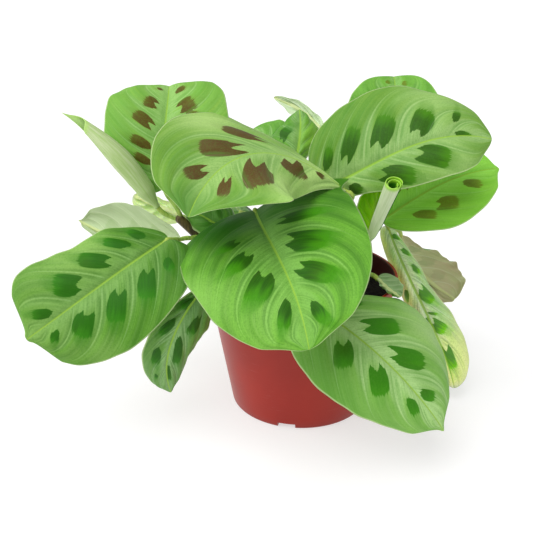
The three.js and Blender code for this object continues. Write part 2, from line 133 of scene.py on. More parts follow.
# Each blade: the base and tip of its midrib and the widest places of its two halves, in millimetres,
# how the midrib arches, sways and bends between, how the halves twist and fill out, how pointed its tip
# is, where its petiole leaves which stem, and its margin's waves. "right" and "left" are seen on the
# upper face with the tip up. Programs made most of these numbers. For fifteen blades one fitted them
# to points of outlines and midribs, read off the picture. For left_small, inner_left, the three
# back ones, rim_leaf and sheath one turned a place in the picture and a guessed depth into each of the
# four points. Some values were changed afterwards.
BLADES = {
    "front_centre": dict(
        base=(-28.3, -21.8, 133.7), tip=(-1, -122.7, 96.9), right=(-65.4, -62.7, 107.8),
        left=(30.5, -99, 140.3), arch=8.8, sway=-4.3, twist=(30, 3), point=0.42, wide=(0.457, 0.378),
        crown=6.4, heart=9.5, bulge=(0.005, 0.035, -0.004, 0.029, 0.028, 0.011), bend=1.2, nib=0.5,
        swells=([(0.03, 0.12, 0.75)], [(0.03, 0.11, 0.1)]),
        stem="front", leaves_at=0.9, ripple=(0.41, 3.2, 0.4)),
    "left": dict(
        base=(-79.3, -27.2, 118.1), tip=(-154.8, -67.6, 73.9), right=(-144.6, -39, 114.6),
        left=(-88.3, -68.5, 75.8), arch=5, sway=-0.8, twist=(-64, -20), point=0.36, wide=(0.434, 0.651),
        crown=3.3, heart=9.9, bulge=(-0.005, -0.002, 0.003, 0.031, 0.103, -0.006), bend=0.3, nib=1,
        stem="left", leaves_at=0.72, sag=6.0, ripple=(0.59, 3.6, 1.0)),
    "top_centre": dict(
        base=(25.2, -28, 146.7), tip=(-61.5, -77.8, 149), right=(-81.2, -23.3, 184.7),
        left=(-9.2, -78.3, 158.9), arch=20.7, sway=20.2, twist=(55, -42), point=0.64, wide=(0.672, 0.6),
        crown=1.1, heart=-0.1, bulge=(-0.011, 0.042, -0.04, 0, -0.036, 0.065), bend=-2.8, nib=0.6,
        swells=([(0.28, 0.12, 0.05), (0.87, 0.08, 0.2)], []),
        stem="centre", leaves_at=0.93, ripple=(0.6, 3.5, 2.2)),
    "top_left": dict(
        base=(-82.2, -4.2, 143.1), tip=(-81.1, 33.3, 195.4), right=(-44, 10, 189.3),
        left=(-117, 4.4, 177.9), arch=10.8, sway=0.3, twist=(5, -10), point=0.28, wide=(0.599, 0.568),
        crown=4.8, heart=10, bulge=(-0.001, -0.002, -0.008, 0.016, -0.014, -0.01), bend=-0.4, nib=0.4,
        stem="left", leaves_at=0.95, ripple=(0.6, 2.8, 0.2)),
    "right_top": dict(
        base=(9.5, 0.5, 139.9), tip=(107.1, -11.5, 173.2), right=(68.7, -28.4, 152.2),
        left=(39.7, 15.9, 195.2), arch=14.9, sway=-2.7, twist=(-40, -20), point=0.52, wide=(0.421, 0.717),
        crown=3, heart=9.3, bulge=(-0.055, -0.024, 0.01, 0.045, -0.052, -0.026), bend=3.1, nib=0.3,
        swells=([], [(0.17, 0.09, 0.5)]),
        stem="centre", leaves_at=0.78, ripple=(0.45, 3.2, 0.9)),
    "right_low": dict(
        base=(50.7, 13.7, 115.7), tip=(124, 26.7, 145.3), right=(89.8, -2, 116.8), left=(77, 45, 153.2),
        arch=8, sway=-2.3, twist=(0, -17), point=0.57, wide=(0.51, 0.548), crown=3, heart=4.1,
        bulge=(0, 0, 0, 0.005, -0.029, -0.008), bend=0.7, nib=0.8, stem="shoot", leaves_at=0.72,
        ripple=(0.36, 3.0, 0.0)),
    "top_right_back": dict(
        base=(52, 54.7, 135.9), tip=(64.6, 91.6, 191.5), right=(93.7, 71, 174.3),
        left=(31.4, 69.3, 176.3), arch=5.2, sway=4.2, twist=(4, -3), point=0.33, wide=(0.439, 0.587),
        crown=2.4, heart=5, bulge=(-0.003, 0.005, 0.002, -0.008, 0, 0.018), bend=0, stem="back",
        leaves_at=0.8, ripple=(0.54, 3.0, 0.5)),
    "bottom_right": dict(
        base=(1.5, -61.4, 93.9), tip=(74.1, -96.9, 33.6), right=(9.3, -91.4, 53.4),
        left=(69.1, -46.3, 77.9), arch=16, sway=1.4, twist=(8, 13), point=0.51, wide=(0.468, 0.381),
        crown=1.4, heart=5.6, bulge=(0.002, 0.001, -0.016, -0.009, 0, -0.003), bend=0.2, nib=1,
        stem="front", leaves_at=0.5, ripple=(0.41, 3.3, 0.9)),
    "right_droop": dict(
        base=(56.2, 23.9, 107.5), tip=(99.7, -11.4, 9.8), right=(64.5, 14.5, 66.5), left=(106.5, 0.3, 35.9),
        arch=7.7, sway=-1.3, twist=(35, -5), point=0.3, wide=(0.605, 0.43), crown=2, heart=4.5,
        bulge=(-0.08, 0.08, 0.035, -0.012, -0.021, -0.01), bend=1.2, stem="shoot", leaves_at=0.58,
        ripple=(0.41, 3.5, 0.7)),
    "right_under": dict(
        base=(69.7, 52.9, 91.5), tip=(115.8, 75.6, 33), right=(119.1, 62.4, 59.1), left=(90, 63.6, 45.2),
        arch=5.1, sway=-7.5, twist=(-1, -7), point=0.53, wide=(0.607, 0.636), crown=3, heart=5,
        bulge=(0, -0.001, 0.001, -0.005, -0.019, -0.022), bend=-0.2, stem="back", leaves_at=0.28,
        ripple=(1.2, 3.6, 0.3)),
    "lower_left": dict(
        base=(-55.6, -44, 97), tip=(-78.9, -46.5, 27.6), right=(-95.1, -46.4, 39.5),
        left=(-55.2, -37.2, 69.7), arch=9.8, sway=12.4, twist=(-10, 2), point=0.43, wide=(0.329, 0.684),
        crown=0.8, heart=5.2, bulge=(0.015, 0, -0.023, -0.002, 0.01, -0.019), bend=0.1, nib=0.6,
        stem="front", leaves_at=0.42, ripple=(0.36, 3.0, 1.4)),
    "left_under": dict(
        base=(-76.6, 18.3, 101.1), tip=(-150.3, 60, 99.4), right=(-114.8, 29.8, 91.3),
        left=(-114.5, 45, 116.6), arch=6.8, sway=7.5, twist=(2, 0), point=0.58, wide=(0.532, 0.455),
        crown=3, heart=5, bulge=(0.002, -0.011, 0.008, 0, 0, 0), bend=0.1, nib=1, stem="left",
        leaves_at=0.5, ripple=(0.41, 3.0, 0.1)),
    "left_small": dict(
        base=(-77, 30, 113), tip=(-112, 60, 117), right=(-99, 45, 104), left=(-94, 52, 119), arch=3,
        stem="left", leaves_at=0.6),
    "centre_back": dict(
        base=(-4.6, 31, 142.8), tip=(-0.5, 57.8, 176.2), right=(12, 45.2, 158),
        left=(-18.5, 50.6, 156), arch=6, sway=2.9, point=0.9, wide=(0.58, 0.6), stem="centre",
        leaves_at=0.62),
    "centre_curl": dict(
        base=(19.9, 56.5, 151.8), tip=(-16.8, 84, 178.9), right=(2.5, 69.2, 163.8), left=(6.5, 77, 174),
        arch=4.4, sway=-7, point=0.6, crown=1, heart=2, wide=(0.55, 0.5), stem="back", leaves_at=0.97),
    "centre_dark": dict(
        base=(-7.6, 62, 133.8), tip=(-31.3, 84.3, 157), right=(-4.8, 72, 161.5), left=(-24.6, 72, 145.7),
        arch=4.4, point=0.61, crown=1, heart=2, wide=(0.57, 0.525), stem="back", leaves_at=0.78),
    "inner_left": dict(
        base=(-39, -14, 113), tip=(-70, -5, 130), right=(-47, 4, 129), left=(-60, -14, 115.5), arch=3,
        stem="front", leaves_at=0.7),
    "back_left": dict(
        base=(-38, 20, 119), tip=(-56, 120, 63), right=(-25, 80, 82), left=(-71, 70, 84), arch=12,
        stem="back", leaves_at=0.68, ripple=(1.0, 3.2, 0.6)),
    "back_centre": dict(
        base=(-6, 40, 110), tip=(4, 120, 45), right=(17, 85, 87), left=(-25, 85, 72), arch=12,
        stem="back", leaves_at=0.58, ripple=(0.9, 3.0, 1.8)),
    "back_right": dict(
        base=(25, 48, 109), tip=(51, 110, 58), right=(49, 75, 98), left=(13, 80, 74), arch=12,
        stem="back", leaves_at=0.48, ripple=(0.8, 3.4, 1.1)),
    "rim_leaf": dict(
        base=(45, -16, 89), tip=(55, -44, 89), right=(56, -26, 93), left=(48, -36, 90), arch=2, crown=1,
        heart=1, stem="shoot", leaves_at=0.4),
    "sheath": dict(
        base=(39, -8, 112), tip=(45, -6, 144), right=(49, -4, 128), left=(32, -6, 131), arch=2, crown=1,
        heart=1, stem="shoot", leaves_at=0.86),
}
SMALL_BLADES = (
    "left_small", "centre_back", "centre_curl", "centre_dark", "inner_left", "rim_leaf", "sheath")


def even_marks(shift):
    """Three even pairs of marks, for a blade that is seen from below."""
    rows = [(0.20, 0.24, 0.30, 0.56, 7), (0.42, 0.20, 0.54, 0.52, 9), (0.64, 0.18, 0.76, 0.42, 8)]
    return [
        (start + shift, side * near, end + shift, side * far, width)
        for side in (-1, 1) for start, near, end, far, width in rows]


# The dark marks of each blade, which lie between the side veins. A mark is given by its inner and its
# outer end, as places along the midrib (0 base, 1 tip) and out to the margin (-1 left half, 1 right
# half), and its width in millimetres. Programs worked out 53 of the 122 marks or more from points read
# off the picture, and some of the others were chosen or changed.
MARKS = {
    "front_centre": [
        (0.267, -0.16, 0.4, -0.62, 9), (0.428, -0.14, 0.591, -0.56, 13.5),
        (0.61, -0.14, 0.772, -0.54, 10.5), (0.82, -0.19, 0.923, -0.46, 7.1),
        (0.279, 0.28, 0.303, 0.49, 7.8), (0.396, 0.24, 0.461, 0.5, 12), (0.552, 0.18, 0.691, 0.44, 13.9),
        (0.739, 0.12, 0.88, 0.3, 6.9)],
    "left": [
        (0.12, 0.45, 0.18, 0.79, 6.3), (0.211, 0.33, 0.327, 0.7, 6.2), (0.352, 0.23, 0.493, 0.66, 9.5),
        (0.565, 0.2, 0.691, 0.46, 13.2), (0.789, 0.1, 0.889, 0.29, 6), (0.124, -0.41, 0.161, -0.61, 5.9),
        (0.228, -0.3, 0.345, -0.62, 10.7), (0.415, -0.24, 0.546, -0.56, 11.3),
        (0.629, -0.2, 0.744, -0.46, 12.2), (0.83, -0.17, 0.884, -0.36, 5)],
    "top_centre": [
        (0.41, 0.34, 0.572, 0.58, 10.5), (0.56, 0.1, 0.721, 0.4, 15), (0.79, 0.1, 0.858, 0.37, 9.5),
        (0.799, -0.2, 0.908, -0.39, 8), (0.572, -0.22, 0.794, -0.6, 16), (0.35, -0.1, 0.315, -0.52, 16.5),
        (0.2, -0.2, 0.15, -0.36, 4)],
    "top_left": [
        (0.912, -0.11, 0.905, -0.24, 2.5), (0.709, -0.14, 0.744, -0.36, 8.9),
        (0.487, -0.17, 0.604, -0.49, 7.7), (0.315, -0.21, 0.402, -0.52, 5.9),
        (0.19, -0.24, 0.279, -0.52, 5), (0.863, 0.14, 0.889, 0.34, 5.4), (0.661, 0.2, 0.727, 0.46, 12.1),
        (0.5, 0.22, 0.6, 0.52, 11), (0.32, 0.26, 0.42, 0.56, 8)],
    "right_top": [
        (0.1, -0.26, 0.18, -0.55, 6.5), (0.217, -0.21, 0.352, -0.57, 9.7),
        (0.402, -0.15, 0.526, -0.48, 12.2), (0.617, -0.11, 0.709, -0.45, 12.6),
        (0.82, -0.26, 0.849, -0.56, 4.6), (0.2, 0.5, 0.26, 0.9, 7), (0.371, 0.45, 0.533, 0.78, 11.1),
        (0.585, 0.25, 0.75, 0.62, 13.3), (0.815, -0.06, 0.897, 0.04, 4.4)],
    "right_low": [
        (0.648, 0.26, 0.778, 0.49, 7.2), (0.39, 0.45, 0.546, 0.59, 8.9), (0.217, 0.44, 0.358, 0.66, 5.5),
        (0.26, -0.26, 0.36, -0.6, 9), (0.46, -0.22, 0.58, -0.52, 11), (0.68, -0.18, 0.78, -0.42, 8)],
    "top_right_back": [
        (0.905, -0.32, 0.926, -0.14, 3.3), (0.901, 0.18, 0.897, 0.36, 4.1), (0.62, -0.22, 0.7, -0.52, 10),
        (0.62, 0.22, 0.7, 0.52, 10), (0.4, -0.26, 0.48, -0.56, 10), (0.4, 0.26, 0.48, 0.56, 10)],
    "bottom_right": [
        (0.297, -0.12, 0.441, -0.45, 11.6), (0.493, -0.09, 0.673, -0.36, 11.6),
        (0.756, -0.04, 0.83, -0.19, 6.2), (0.279, 0.24, 0.371, 0.58, 11.3),
        (0.48, 0.19, 0.617, 0.53, 10.2), (0.721, 0.23, 0.82, 0.35, 5.7), (0.12, 0.28, 0.18, 0.52, 7),
        (0.12, -0.22, 0.2, -0.5, 7)],
    "right_droop": [
        (0.05, -0.1, 0.095, -0.6, 4), (0.146, -0.2, 0.196, -0.71, 5), (0.25, -0.36, 0.309, -0.7, 6),
        (0.377, -0.27, 0.487, -0.52, 8), (0.364, 0.44, 0.43, 0.8, 5), (0.526, -0.05, 0.559, -0.38, 2),
        (0.578, -0.02, 0.661, -0.36, 8), (0.739, -0.12, 0.876, -0.14, 8), (0.54, 0.3, 0.64, 0.66, 8)],
    "right_under": even_marks(0.0),
    "lower_left": [
        (0.13, 0.1, 0.22, 0.6, 6), (0.303, 0.4, 0.448, 0.64, 5.2), (0.201, -0.41, 0.371, -0.4, 7.6),
        (0.546, 0.51, 0.691, 0.51, 5.6), (0.409, -0.14, 0.685, -0.31, 5.7),
        (0.697, -0.04, 0.854, -0.09, 2.4), (0.778, 0.45, 0.82, 0.49, 2.3)],
    "left_under": even_marks(0.02),
    "left_small": [
        (0.5, 0.2, 0.6, 0.6, 4), (0.5, -0.24, 0.6, -0.5, 4)],
    "centre_back": [
        (0.415, -0.64, 0.617, -0.36, 7.6)],
    "centre_curl": [
        (0.38, 0.2, 0.45, 0.6, 4), (0.4, -0.24, 0.5, -0.52, 3)],
    "centre_dark": [(0.40, -0.20, 0.54, -0.52, 6), (0.44, 0.20, 0.58, 0.52, 6)],
    "inner_left": [(0.42, 0.22, 0.54, 0.52, 4), (0.44, -0.22, 0.56, -0.52, 4)],
    "back_left": [
        (0.16, -0.26, 0.24, -0.58, 8), (0.34, -0.20, 0.46, -0.56, 12), (0.54, -0.18, 0.68, -0.48, 12),
        (0.74, -0.16, 0.84, -0.36, 8), (0.18, 0.26, 0.26, 0.58, 8), (0.37, 0.20, 0.49, 0.56, 12),
        (0.57, 0.18, 0.70, 0.46, 12), (0.77, 0.16, 0.86, 0.34, 7)],
    "back_centre": [
        (0.18, -0.26, 0.26, -0.58, 8), (0.36, -0.20, 0.48, -0.56, 11), (0.56, -0.18, 0.70, -0.46, 11),
        (0.77, -0.14, 0.86, -0.32, 7), (0.15, 0.26, 0.23, 0.58, 8), (0.33, 0.20, 0.45, 0.56, 11),
        (0.53, 0.18, 0.67, 0.46, 11), (0.73, 0.16, 0.83, 0.34, 7)],
    "back_right": [
        (0.20, -0.24, 0.30, -0.56, 8), (0.42, -0.20, 0.54, -0.52, 10), (0.64, -0.18, 0.76, -0.42, 8),
        (0.17, 0.24, 0.26, 0.56, 8), (0.38, 0.20, 0.50, 0.52, 10), (0.59, 0.18, 0.72, 0.44, 9)],
}

# Soft patches of a lighter tone (weight above 0) or a deeper one (below 0) on a blade, partly painted light
# and painted shade (shadow cast by other leaves, light shining through, lit and shaded sides) and partly
# the leaf's own tone: the place along the midrib and out to the margin, the patch's radius in
# millimetres, and its weight
SHADES = {
    "front_centre": [
        (0.95, 0.55, 34, 0.5), (0.45, 0.95, 26, 0.65), (0.06, -0.5, 30, -1.0), (0.1, 0.5, 22, -1.0),
        (0.35, 0.5, 16, -0.5), (0.4, -0.9, 18, -0.3), (0.97, -0.5, 18, -0.4)],
    "left": [
        (0.98, 0.0, 22, 0.5), (0.1, 0.9, 18, -0.3), (0.1, -0.7, 22, -0.5), (0.45, 0.85, 22, 0.8),
        (0.78, 0.75, 18, 0.25), (0.72, -0.85, 15, 0.5)],
    "right_top": [
        (0.75, -0.75, 24, 0.7), (0.5, 0.95, 14, 0.5), (0.8, 0.8, 14, 0.7), (0.3, -0.9, 24, -0.3),
        (0.2, 1.0, 14, 1.2)],
    "right_low": [(0.25, 0.9, 20, -0.3)],
    "top_centre": [
        (0.6, 0.8, 22, 0.8), (0.35, 0.9, 16, 0.4), (0.97, 0.5, 15, -0.7), (0.9, -0.6, 14, -0.6),
        (0.5, -0.9, 20, 0.9), (0.12, -0.4, 22, 1.3)],
    "bottom_right": [
        (0.98, 0.0, 16, -0.2), (0.25, 0.85, 22, -0.5), (0.5, 0.95, 16, -0.4), (0.6, -0.8, 22, 0.7)],
    "right_droop": [
        (0.9, 0.0, 34, 0.9), (0.1, 1.0, 12, 1.2), (0.25, 1.0, 14, 1.2), (0.4, 1.0, 14, 1.2),
        (0.15, -0.6, 22, -0.5), (0.45, -0.8, 20, -0.3)],
    "top_left": [(0.45, 0.9, 14, 0.3)],
    "lower_left": [(0.1, 0.0, 20, -0.5)],
    "centre_back": [(0.5, 0.9, 14, 0.9)],
}

# How side veins sweep towards the tip where a half has too few marks to tell: at the base, and the gain
USUAL_SWEEP = (0.2, 0.3)

# Rolled leaves: the ends of the roll, its radius at the base, the middle and the mouth, where round
# it the sheet's outer edge lies, how high that edge reaches, and how far the middle bows out
NEW_ROLL = dict(
    base=(38.3, -19.4, 112.4), tip=(49, -36, 155), radii=(2.4, 4.3, 5.4), turn=2.2, wrap=1.0, bow=(0, 0, 0))
LEFT_ROLLED = dict(
    base=(-86, -10, 132), tip=(-134.4, -10, 188.3), radii=(5.2, 6.6, 2.4), turn=1.2, wrap=0.72,
    bow=(3, -5, 5))


def unit(vectors):
    return vectors / np.linalg.norm(vectors, axis=-1, keepdims=True)


def smooth(x):
    """An S-shaped ramp: 0 below 0, 1 above 1."""
    x = np.clip(x, 0.0, 1.0)
    return x * x * (3.0 - 2.0 * x)


def spread(out):
    """How far a side vein has swept at a place out to the margin, as a share of its whole sweep."""
    return out + 0.9 * out ** 3


def turn_about(vectors, axes, angles):
    """Vectors turned about unit axes by angles in radians."""
    cos = np.cos(angles)[..., None]
    sin = np.sin(angles)[..., None]
    along = np.sum(vectors * axes, axis=-1, keepdims=True)
    return vectors * cos + np.cross(axes, vectors) * sin + axes * along * (1.0 - cos)


class Blade:
    """A leaf blade: an arched midrib with a half on each side that bends away from it."""

    def __init__(self, name):
        values = BLADES[name]
        self.marks = MARKS.get(name, [])
        self.shades = SHADES.get(name, [])
        self.base = np.array(values["base"], float)
        self.tip = np.array(values["tip"], float)
        self.crown = values.get("crown", 3.0)
        self.heart = values.get("heart", 5.0)
        self.point = values.get("point", 0.5)
        self.ripple = values.get("ripple", (0.5, 3.0, 0.0))
        self.bulge = values.get("bulge", (0, 0, 0, 0, 0, 0))
        self.nib = 0.75 * values.get("nib", 0.0)
        self.swells = values.get("swells", ((), ()))
        along = self.tip - self.base
        edges = [np.array(values[side], float) for side in ("left", "right")]
        self.facing = unit(np.cross(edges[1] - edges[0], along))
        sideways = np.cross(unit(along), self.facing)
        self.middle = self.base + along / 2
        self.middle = self.middle + 2.0 * values["arch"] * self.facing
        self.middle = self.middle + 2.0 * values.get("sway", 0.0) * sideways
        self.bend = FULL_BEND * values.get("bend", 0.0) * sideways
        twist = values.get("twist", (0, 0))
        wide = values.get("wide", (None, None))
        self.halves = [self.half(edges[i], math.radians(twist[i]), wide[i], i) for i in (0, 1)]

    def rib(self, u):
        """The midrib's points at u, its direction, and the blade's upward direction: a parabola from
        base to tip through the middle point, with a slight double bend sideways."""
        u = np.asarray(u, float)[..., None]
        points = (1 - u) ** 2 * self.base + 2 * u * (1 - u) * self.middle + u ** 2 * self.tip
        points = points + self.bend * u * (1 - u) * (1 - 2 * u)
        along = 2 * (1 - u) * (self.middle - self.base) + 2 * u * (self.tip - self.middle)
        along = unit(along + self.bend * (1 - 6 * u + 6 * u * u))
        up = unit(self.facing - np.sum(along * self.facing, axis=-1, keepdims=True) * along)
        return points, along, up

    def half(self, edge, twist, wide, index):
        """Where along the midrib a half is widest, and how far it reaches sideways and upwards."""
        u = np.linspace(0.05, 0.95, HALF_SAMPLES)
        points, along, up = self.rib(u)
        offset = edge - points
        k = np.argmin(np.abs(np.sum(offset * along, axis=1)))
        widest = wide if wide else float(np.clip(u[k], 0.35, 0.62))
        known = float(np.clip(u[k], 0.3, 0.7))
        blunt = self.point * widest / (1 - widest)
        return dict(
            at=u[k], reach=offset[k] @ np.cross(along[k], up[k]), rise=offset[k] @ up[k], twist=twist,
            blunt=blunt, scale=known ** blunt * (1 - known) ** self.point,
            bulge=self.bulge[3 * index:3 * index + 3], swells=self.swells[index])

    def width(self, half, u):
        """A half's width as a share of its widest: a power of u times a power of 1 - u, filled out by
        three low waves and by its own swells, and drawn in at the tip."""
        u = np.clip(u, 0.0, 1.0)
        share = u ** half["blunt"] * (1 - u) ** self.point / half["scale"]
        first, second, third = half["bulge"]
        waves = first * np.sin(2 * math.pi * u) + second * np.sin(3 * math.pi * u)
        share = share * (1 + waves + third * np.sin(4 * math.pi * u))
        for place, spread_of, more in half["swells"]:
            share = share * (1 + more * np.exp(-((u - place) / spread_of) ** 2))
        share = share * (1 - self.nib * smooth((u - NIB_START) / NIB_LENGTH))
        return np.maximum(share, NARROWEST * np.sqrt(u * (1 - u)) * 2)

    def span(self, u, v):
        """How far it is from the midrib to the margin, on the side where v lies (mm)."""
        left, right = (abs(half["reach"]) * self.width(half, u) for half in self.halves)
        return np.where(v < 0, left, right)

    def surface(self, u, v):
        """Points of the blade at u along the midrib and v across, -1 on the left margin, 1 on the
        right one. With w the size of v, each half is
        rib(u) + width(u) * (reach * w * side + (rise * w ** 2 + 4 * crown * w * (1 - w)) * up)
        - heart * w * (1 - u) ** 3 * sqrt(width(u)) * along."""
        points, along, up = self.rib(u)
        out = np.abs(v)
        result = np.zeros(np.broadcast(u, v).shape + (3,))
        for index, half in enumerate(self.halves):
            width = self.width(half, u)
            turned = turn_about(up, along, half["twist"] * (u - half["at"]))
            side = np.cross(along, turned)
            rise = half["rise"] * out ** 2 + self.crown * 4 * out * (1 - out)
            back = self.heart * out * np.clip(1 - u, 0, 1) ** 3 * np.sqrt(width)
            surface = points + side * (width * out * half["reach"])[..., None]
            surface = surface + turned * (width * rise)[..., None] - along * back[..., None]
            mine = (v < 0) if index == 0 else (v >= 0)
            result = np.where(mine[..., None], surface, result)
        return result

    def marks_of(self, sign):
        return [mark for mark in self.marks if (mark[1] + mark[3]) * sign > 0]

    def sweep_of(self, sign):
        """How a half's side veins sweep towards the tip, at the base and how much more further on: the
        best fit to the run of its marks."""
        rows = [(0.25, 0.0, 0.25 * USUAL_SWEEP[0]), (0.0, 0.25, 0.25 * USUAL_SWEEP[1])]
        for u0, v0, u1, v1, _ in self.marks_of(sign):
            over = spread(abs(v1)) - spread(abs(v0))
            if over > 0.12:
                slope = min(max((u1 - u0) / over, 0.0), 0.8)
                start = min(max(u0 - slope * spread(abs(v0)), 0.0), 1.0)
                rows.append((over, over * start ** 2, over * slope))
        rows = np.array(rows)
        found = np.linalg.lstsq(rows[:, :2], rows[:, 2], rcond=None)[0]
        return np.clip(found, 0.05, 0.9)

    def vein_of(self, u, out, sweep):
        """The place on the midrib where the side vein through (u, out) starts. Veins leave the rib
        sideways and sweep towards the tip, more so nearer the tip and the margin."""
        first, more = sweep
        q = u.copy()
        for _ in range(8):
            slip = q + (first + more * np.clip(q, 0, 1) ** 2) * spread(out) - u
            q = q - slip / (1 + 2 * more * np.clip(q, 0, 1) * spread(out))
        return q

    def phases(self, u, out, sign):
        """Counts the side veins along one half: whole numbers on the marks, halves on the veins."""
        marks = self.marks_of(sign)
        sweep = self.sweep_of(sign)
        if len(marks) < 2:
            return self.vein_of(u, out, sweep) * 5.0
        middles = np.array([((m[0] + m[2]) / 2, abs(m[1] + m[3]) / 2) for m in marks])
        centres = np.sort(self.vein_of(middles[:, 0], middles[:, 1], sweep))
        step = (centres[-1] - centres[0]) / (len(centres) - 1)
        known = np.concatenate([
            centres[0] - step * np.array([2, 1]), centres, centres[-1] + step * np.array([1, 2])])
        return np.interp(self.vein_of(u, out, sweep), known, np.arange(len(known)) + 0.0)

    def mark_places(self, points):
        """For each mark, every point's place along it (0 at the inner end, 1 at the outer one) and
        across it (-1 to 1), with its length, half its width (mm) and its half of the blade."""
        places = []
        for u0, v0, u1, v1, width in self.marks:
            ends = self.surface(np.array([[u0], [u1]]), np.array([[v0], [v1]]))[:, 0]
            middle = np.array([[(u0 + u1) / 2]])
            out = np.array([[(v0 + v1) / 2]])
            ahead = self.surface(middle + 0.01, out)[0, 0] - self.surface(middle - 0.01, out)[0, 0]
            run = ends[1] - ends[0]
            length = np.linalg.norm(run)
            direction = run / length
            across = unit(ahead - (ahead @ direction) * direction)
            offset = points - ends[0]
            t = offset @ direction / length
            x = (offset @ across) / (width / 2) + 0.5 * (t - 0.5) ** 2 - 0.06
            places.append((t, x, length, width / 2, 1.0 if v0 + v1 > 0 else -1.0))
        return places

    def shade(self, points):
        """How much lighter (above 0) or deeper the blade's tone is at each point: partly painted light and
        painted shade, partly the leaf's own tone.
        """
        total = np.zeros(points.shape[:-1])
        for u, v, radius, weight in self.shades:
            centre = self.surface(np.array([[u]]), np.array([[v]]))[0, 0]
            far = np.linalg.norm(points - centre, axis=-1)
            total = total + weight * np.exp(-(far / radius) ** 2)
        return np.clip(total, -1.0, 1.0)

    def relief(self, u, v, phase):
        """Height of the upper face above the plain surface (mm): panels swell between the side veins,
        the midrib lies in a groove, and the margin waves."""
        out = np.abs(v)
        ends = smooth(u / 0.1) * smooth((1 - u) / 0.12)
        panels = np.sqrt(np.cos(math.pi * phase) ** 2 + 0.006) - 0.6
        swell = SWELL_HEIGHT * panels * smooth(out / 0.2) * smooth((1 - out) / 0.4)
        groove = np.exp(-(out * self.span(u, v) / GROOVE_WIDTH) ** 2) * smooth((1 - u) / 0.3)
        size, waves, start = self.ripple
        turns = 2 * math.pi * waves * u
        wave = np.sin(turns + start + np.where(v < 0, 0.9, 0.0)) + 0.5 * np.sin(1.9 * turns + 2 * start)
        return ends * (swell - GROOVE_DEPTH * groove + size * out ** 4 * wave)


def mesh_piece(name, points, faces, materials, face_slots=None):
    """A mesh object in metres from points in millimetres, smooth shaded, with its faces outwards."""
    points = np.asarray(points, float) * MM
    mesh = bpy.data.meshes.new(name)
    mesh.from_pydata(points.tolist(), [], faces)
    for material in materials:
        mesh.materials.append(material)
    if face_slots is not None:
        mesh.polygons.foreach_set("material_index", np.asarray(face_slots, np.int32))
    mesh.polygons.foreach_set("use_smooth", np.ones(len(mesh.polygons), bool))
    mesh.validate()
    mesh.update()
    piece = bpy.data.objects.new(name, mesh)
    bpy.context.scene.collection.objects.link(piece)
    return piece


def ring_faces(rows, columns, poles):
    """Quads between rings of points that close around, with a fan of triangles at each pole when
    poles is true. Returns the faces and the column of each."""
    i, k = (grid.ravel() for grid in np.meshgrid(np.arange(rows - 1), np.arange(columns), indexing="ij"))
    low = i * columns
    high = low + columns
    ahead = (k + 1) % columns
    faces = np.stack([low + k, low + ahead, high + ahead, high + k], 1).tolist()
    owners = k.tolist()
    if poles:
        first = rows * columns
        last = (rows - 1) * columns
        k = np.arange(columns)
        ahead = (k + 1) % columns
        start = np.stack([np.full(columns, first), ahead, k], 1)
        end = np.stack([np.full(columns, first + 1), last + k, last + ahead], 1)
        faces += start.tolist() + end.tolist()
        owners += k.tolist() * 2
    return faces, np.array(owners)


def outward(points, faces):
    """The faces, turned round if the closed shape that they make would be inside out."""
    quads = np.array([face if len(face) == 4 else face + [face[-1]] for face in faces])
    a, b, c, d = (points[quads[:, n]] for n in range(4))
    volume = np.sum(np.cross(a, b) * c) + np.sum(np.cross(a, c) * d)
    if volume < 0:
        return [face[::-1] for face in faces]
    return faces


def swept_rings(path, ups, sections):
    """Rings of points: each section, as offsets sideways and upwards, at its place on a path."""
    along = unit(np.gradient(path, axis=0))
    ups = unit(ups - np.sum(ups * along, axis=1, keepdims=True) * along)
    sides = np.cross(along, ups)
    return path[:, None] + sides[:, None] * sections[..., :1] + ups[:, None] * sections[..., 1:]


def tube_piece(name, path, radii, material, sides=14, flatten=1.0):
    """A round tube along a path with its own radius at each point, closed by a point at each end.
    flatten gives each ring's thickness as a share of its width."""
    angles = np.linspace(0, 2 * math.pi, sides, endpoint=False)
    squeeze = np.broadcast_to(flatten, len(path))[:, None]
    sections = np.stack([radii[:, None] * np.cos(angles), radii[:, None] * np.sin(angles) * squeeze], -1)
    direction = path[-1] - path[0]
    steep = abs(direction[1]) < abs(direction[2])
    up = np.cross(direction, (0.0, 1.0, 0.0)) if steep else np.array((1.0, 0, 0))
    rings = swept_rings(path, np.tile(up, (len(path), 1)), sections)
    points = np.concatenate([rings.reshape(-1, 3), path[:1], path[-1:]])
    faces, _ = ring_faces(len(path), sides, True)
    piece = mesh_piece(name, points, outward(points, faces), [material])
    share = np.repeat(np.linspace(0, 1, len(path)), sides)
    set_values(piece, "along", np.concatenate([share, [0.0, 1.0]]))
    return piece


def set_values(piece, name, values):
    attribute = piece.data.attributes.new(name, "FLOAT", "POINT")
    attribute.data.foreach_set("value", np.asarray(values, np.float32).ravel())


def bezier(points, count):
    """A cubic curve from the first of four points to the last, led by the two between."""
    t = np.linspace(0, 1, count)[:, None]
    a, b, c, d = (np.array(p, float) for p in points)
    return (1 - t) ** 3 * a + 3 * t * (1 - t) ** 2 * b + 3 * t ** 2 * (1 - t) * c + t ** 3 * d


def run_along(path):
    """How far each point of a path is from its start, along the path."""
    return np.concatenate([[0], np.cumsum(np.linalg.norm(np.diff(path, axis=0), axis=1))])


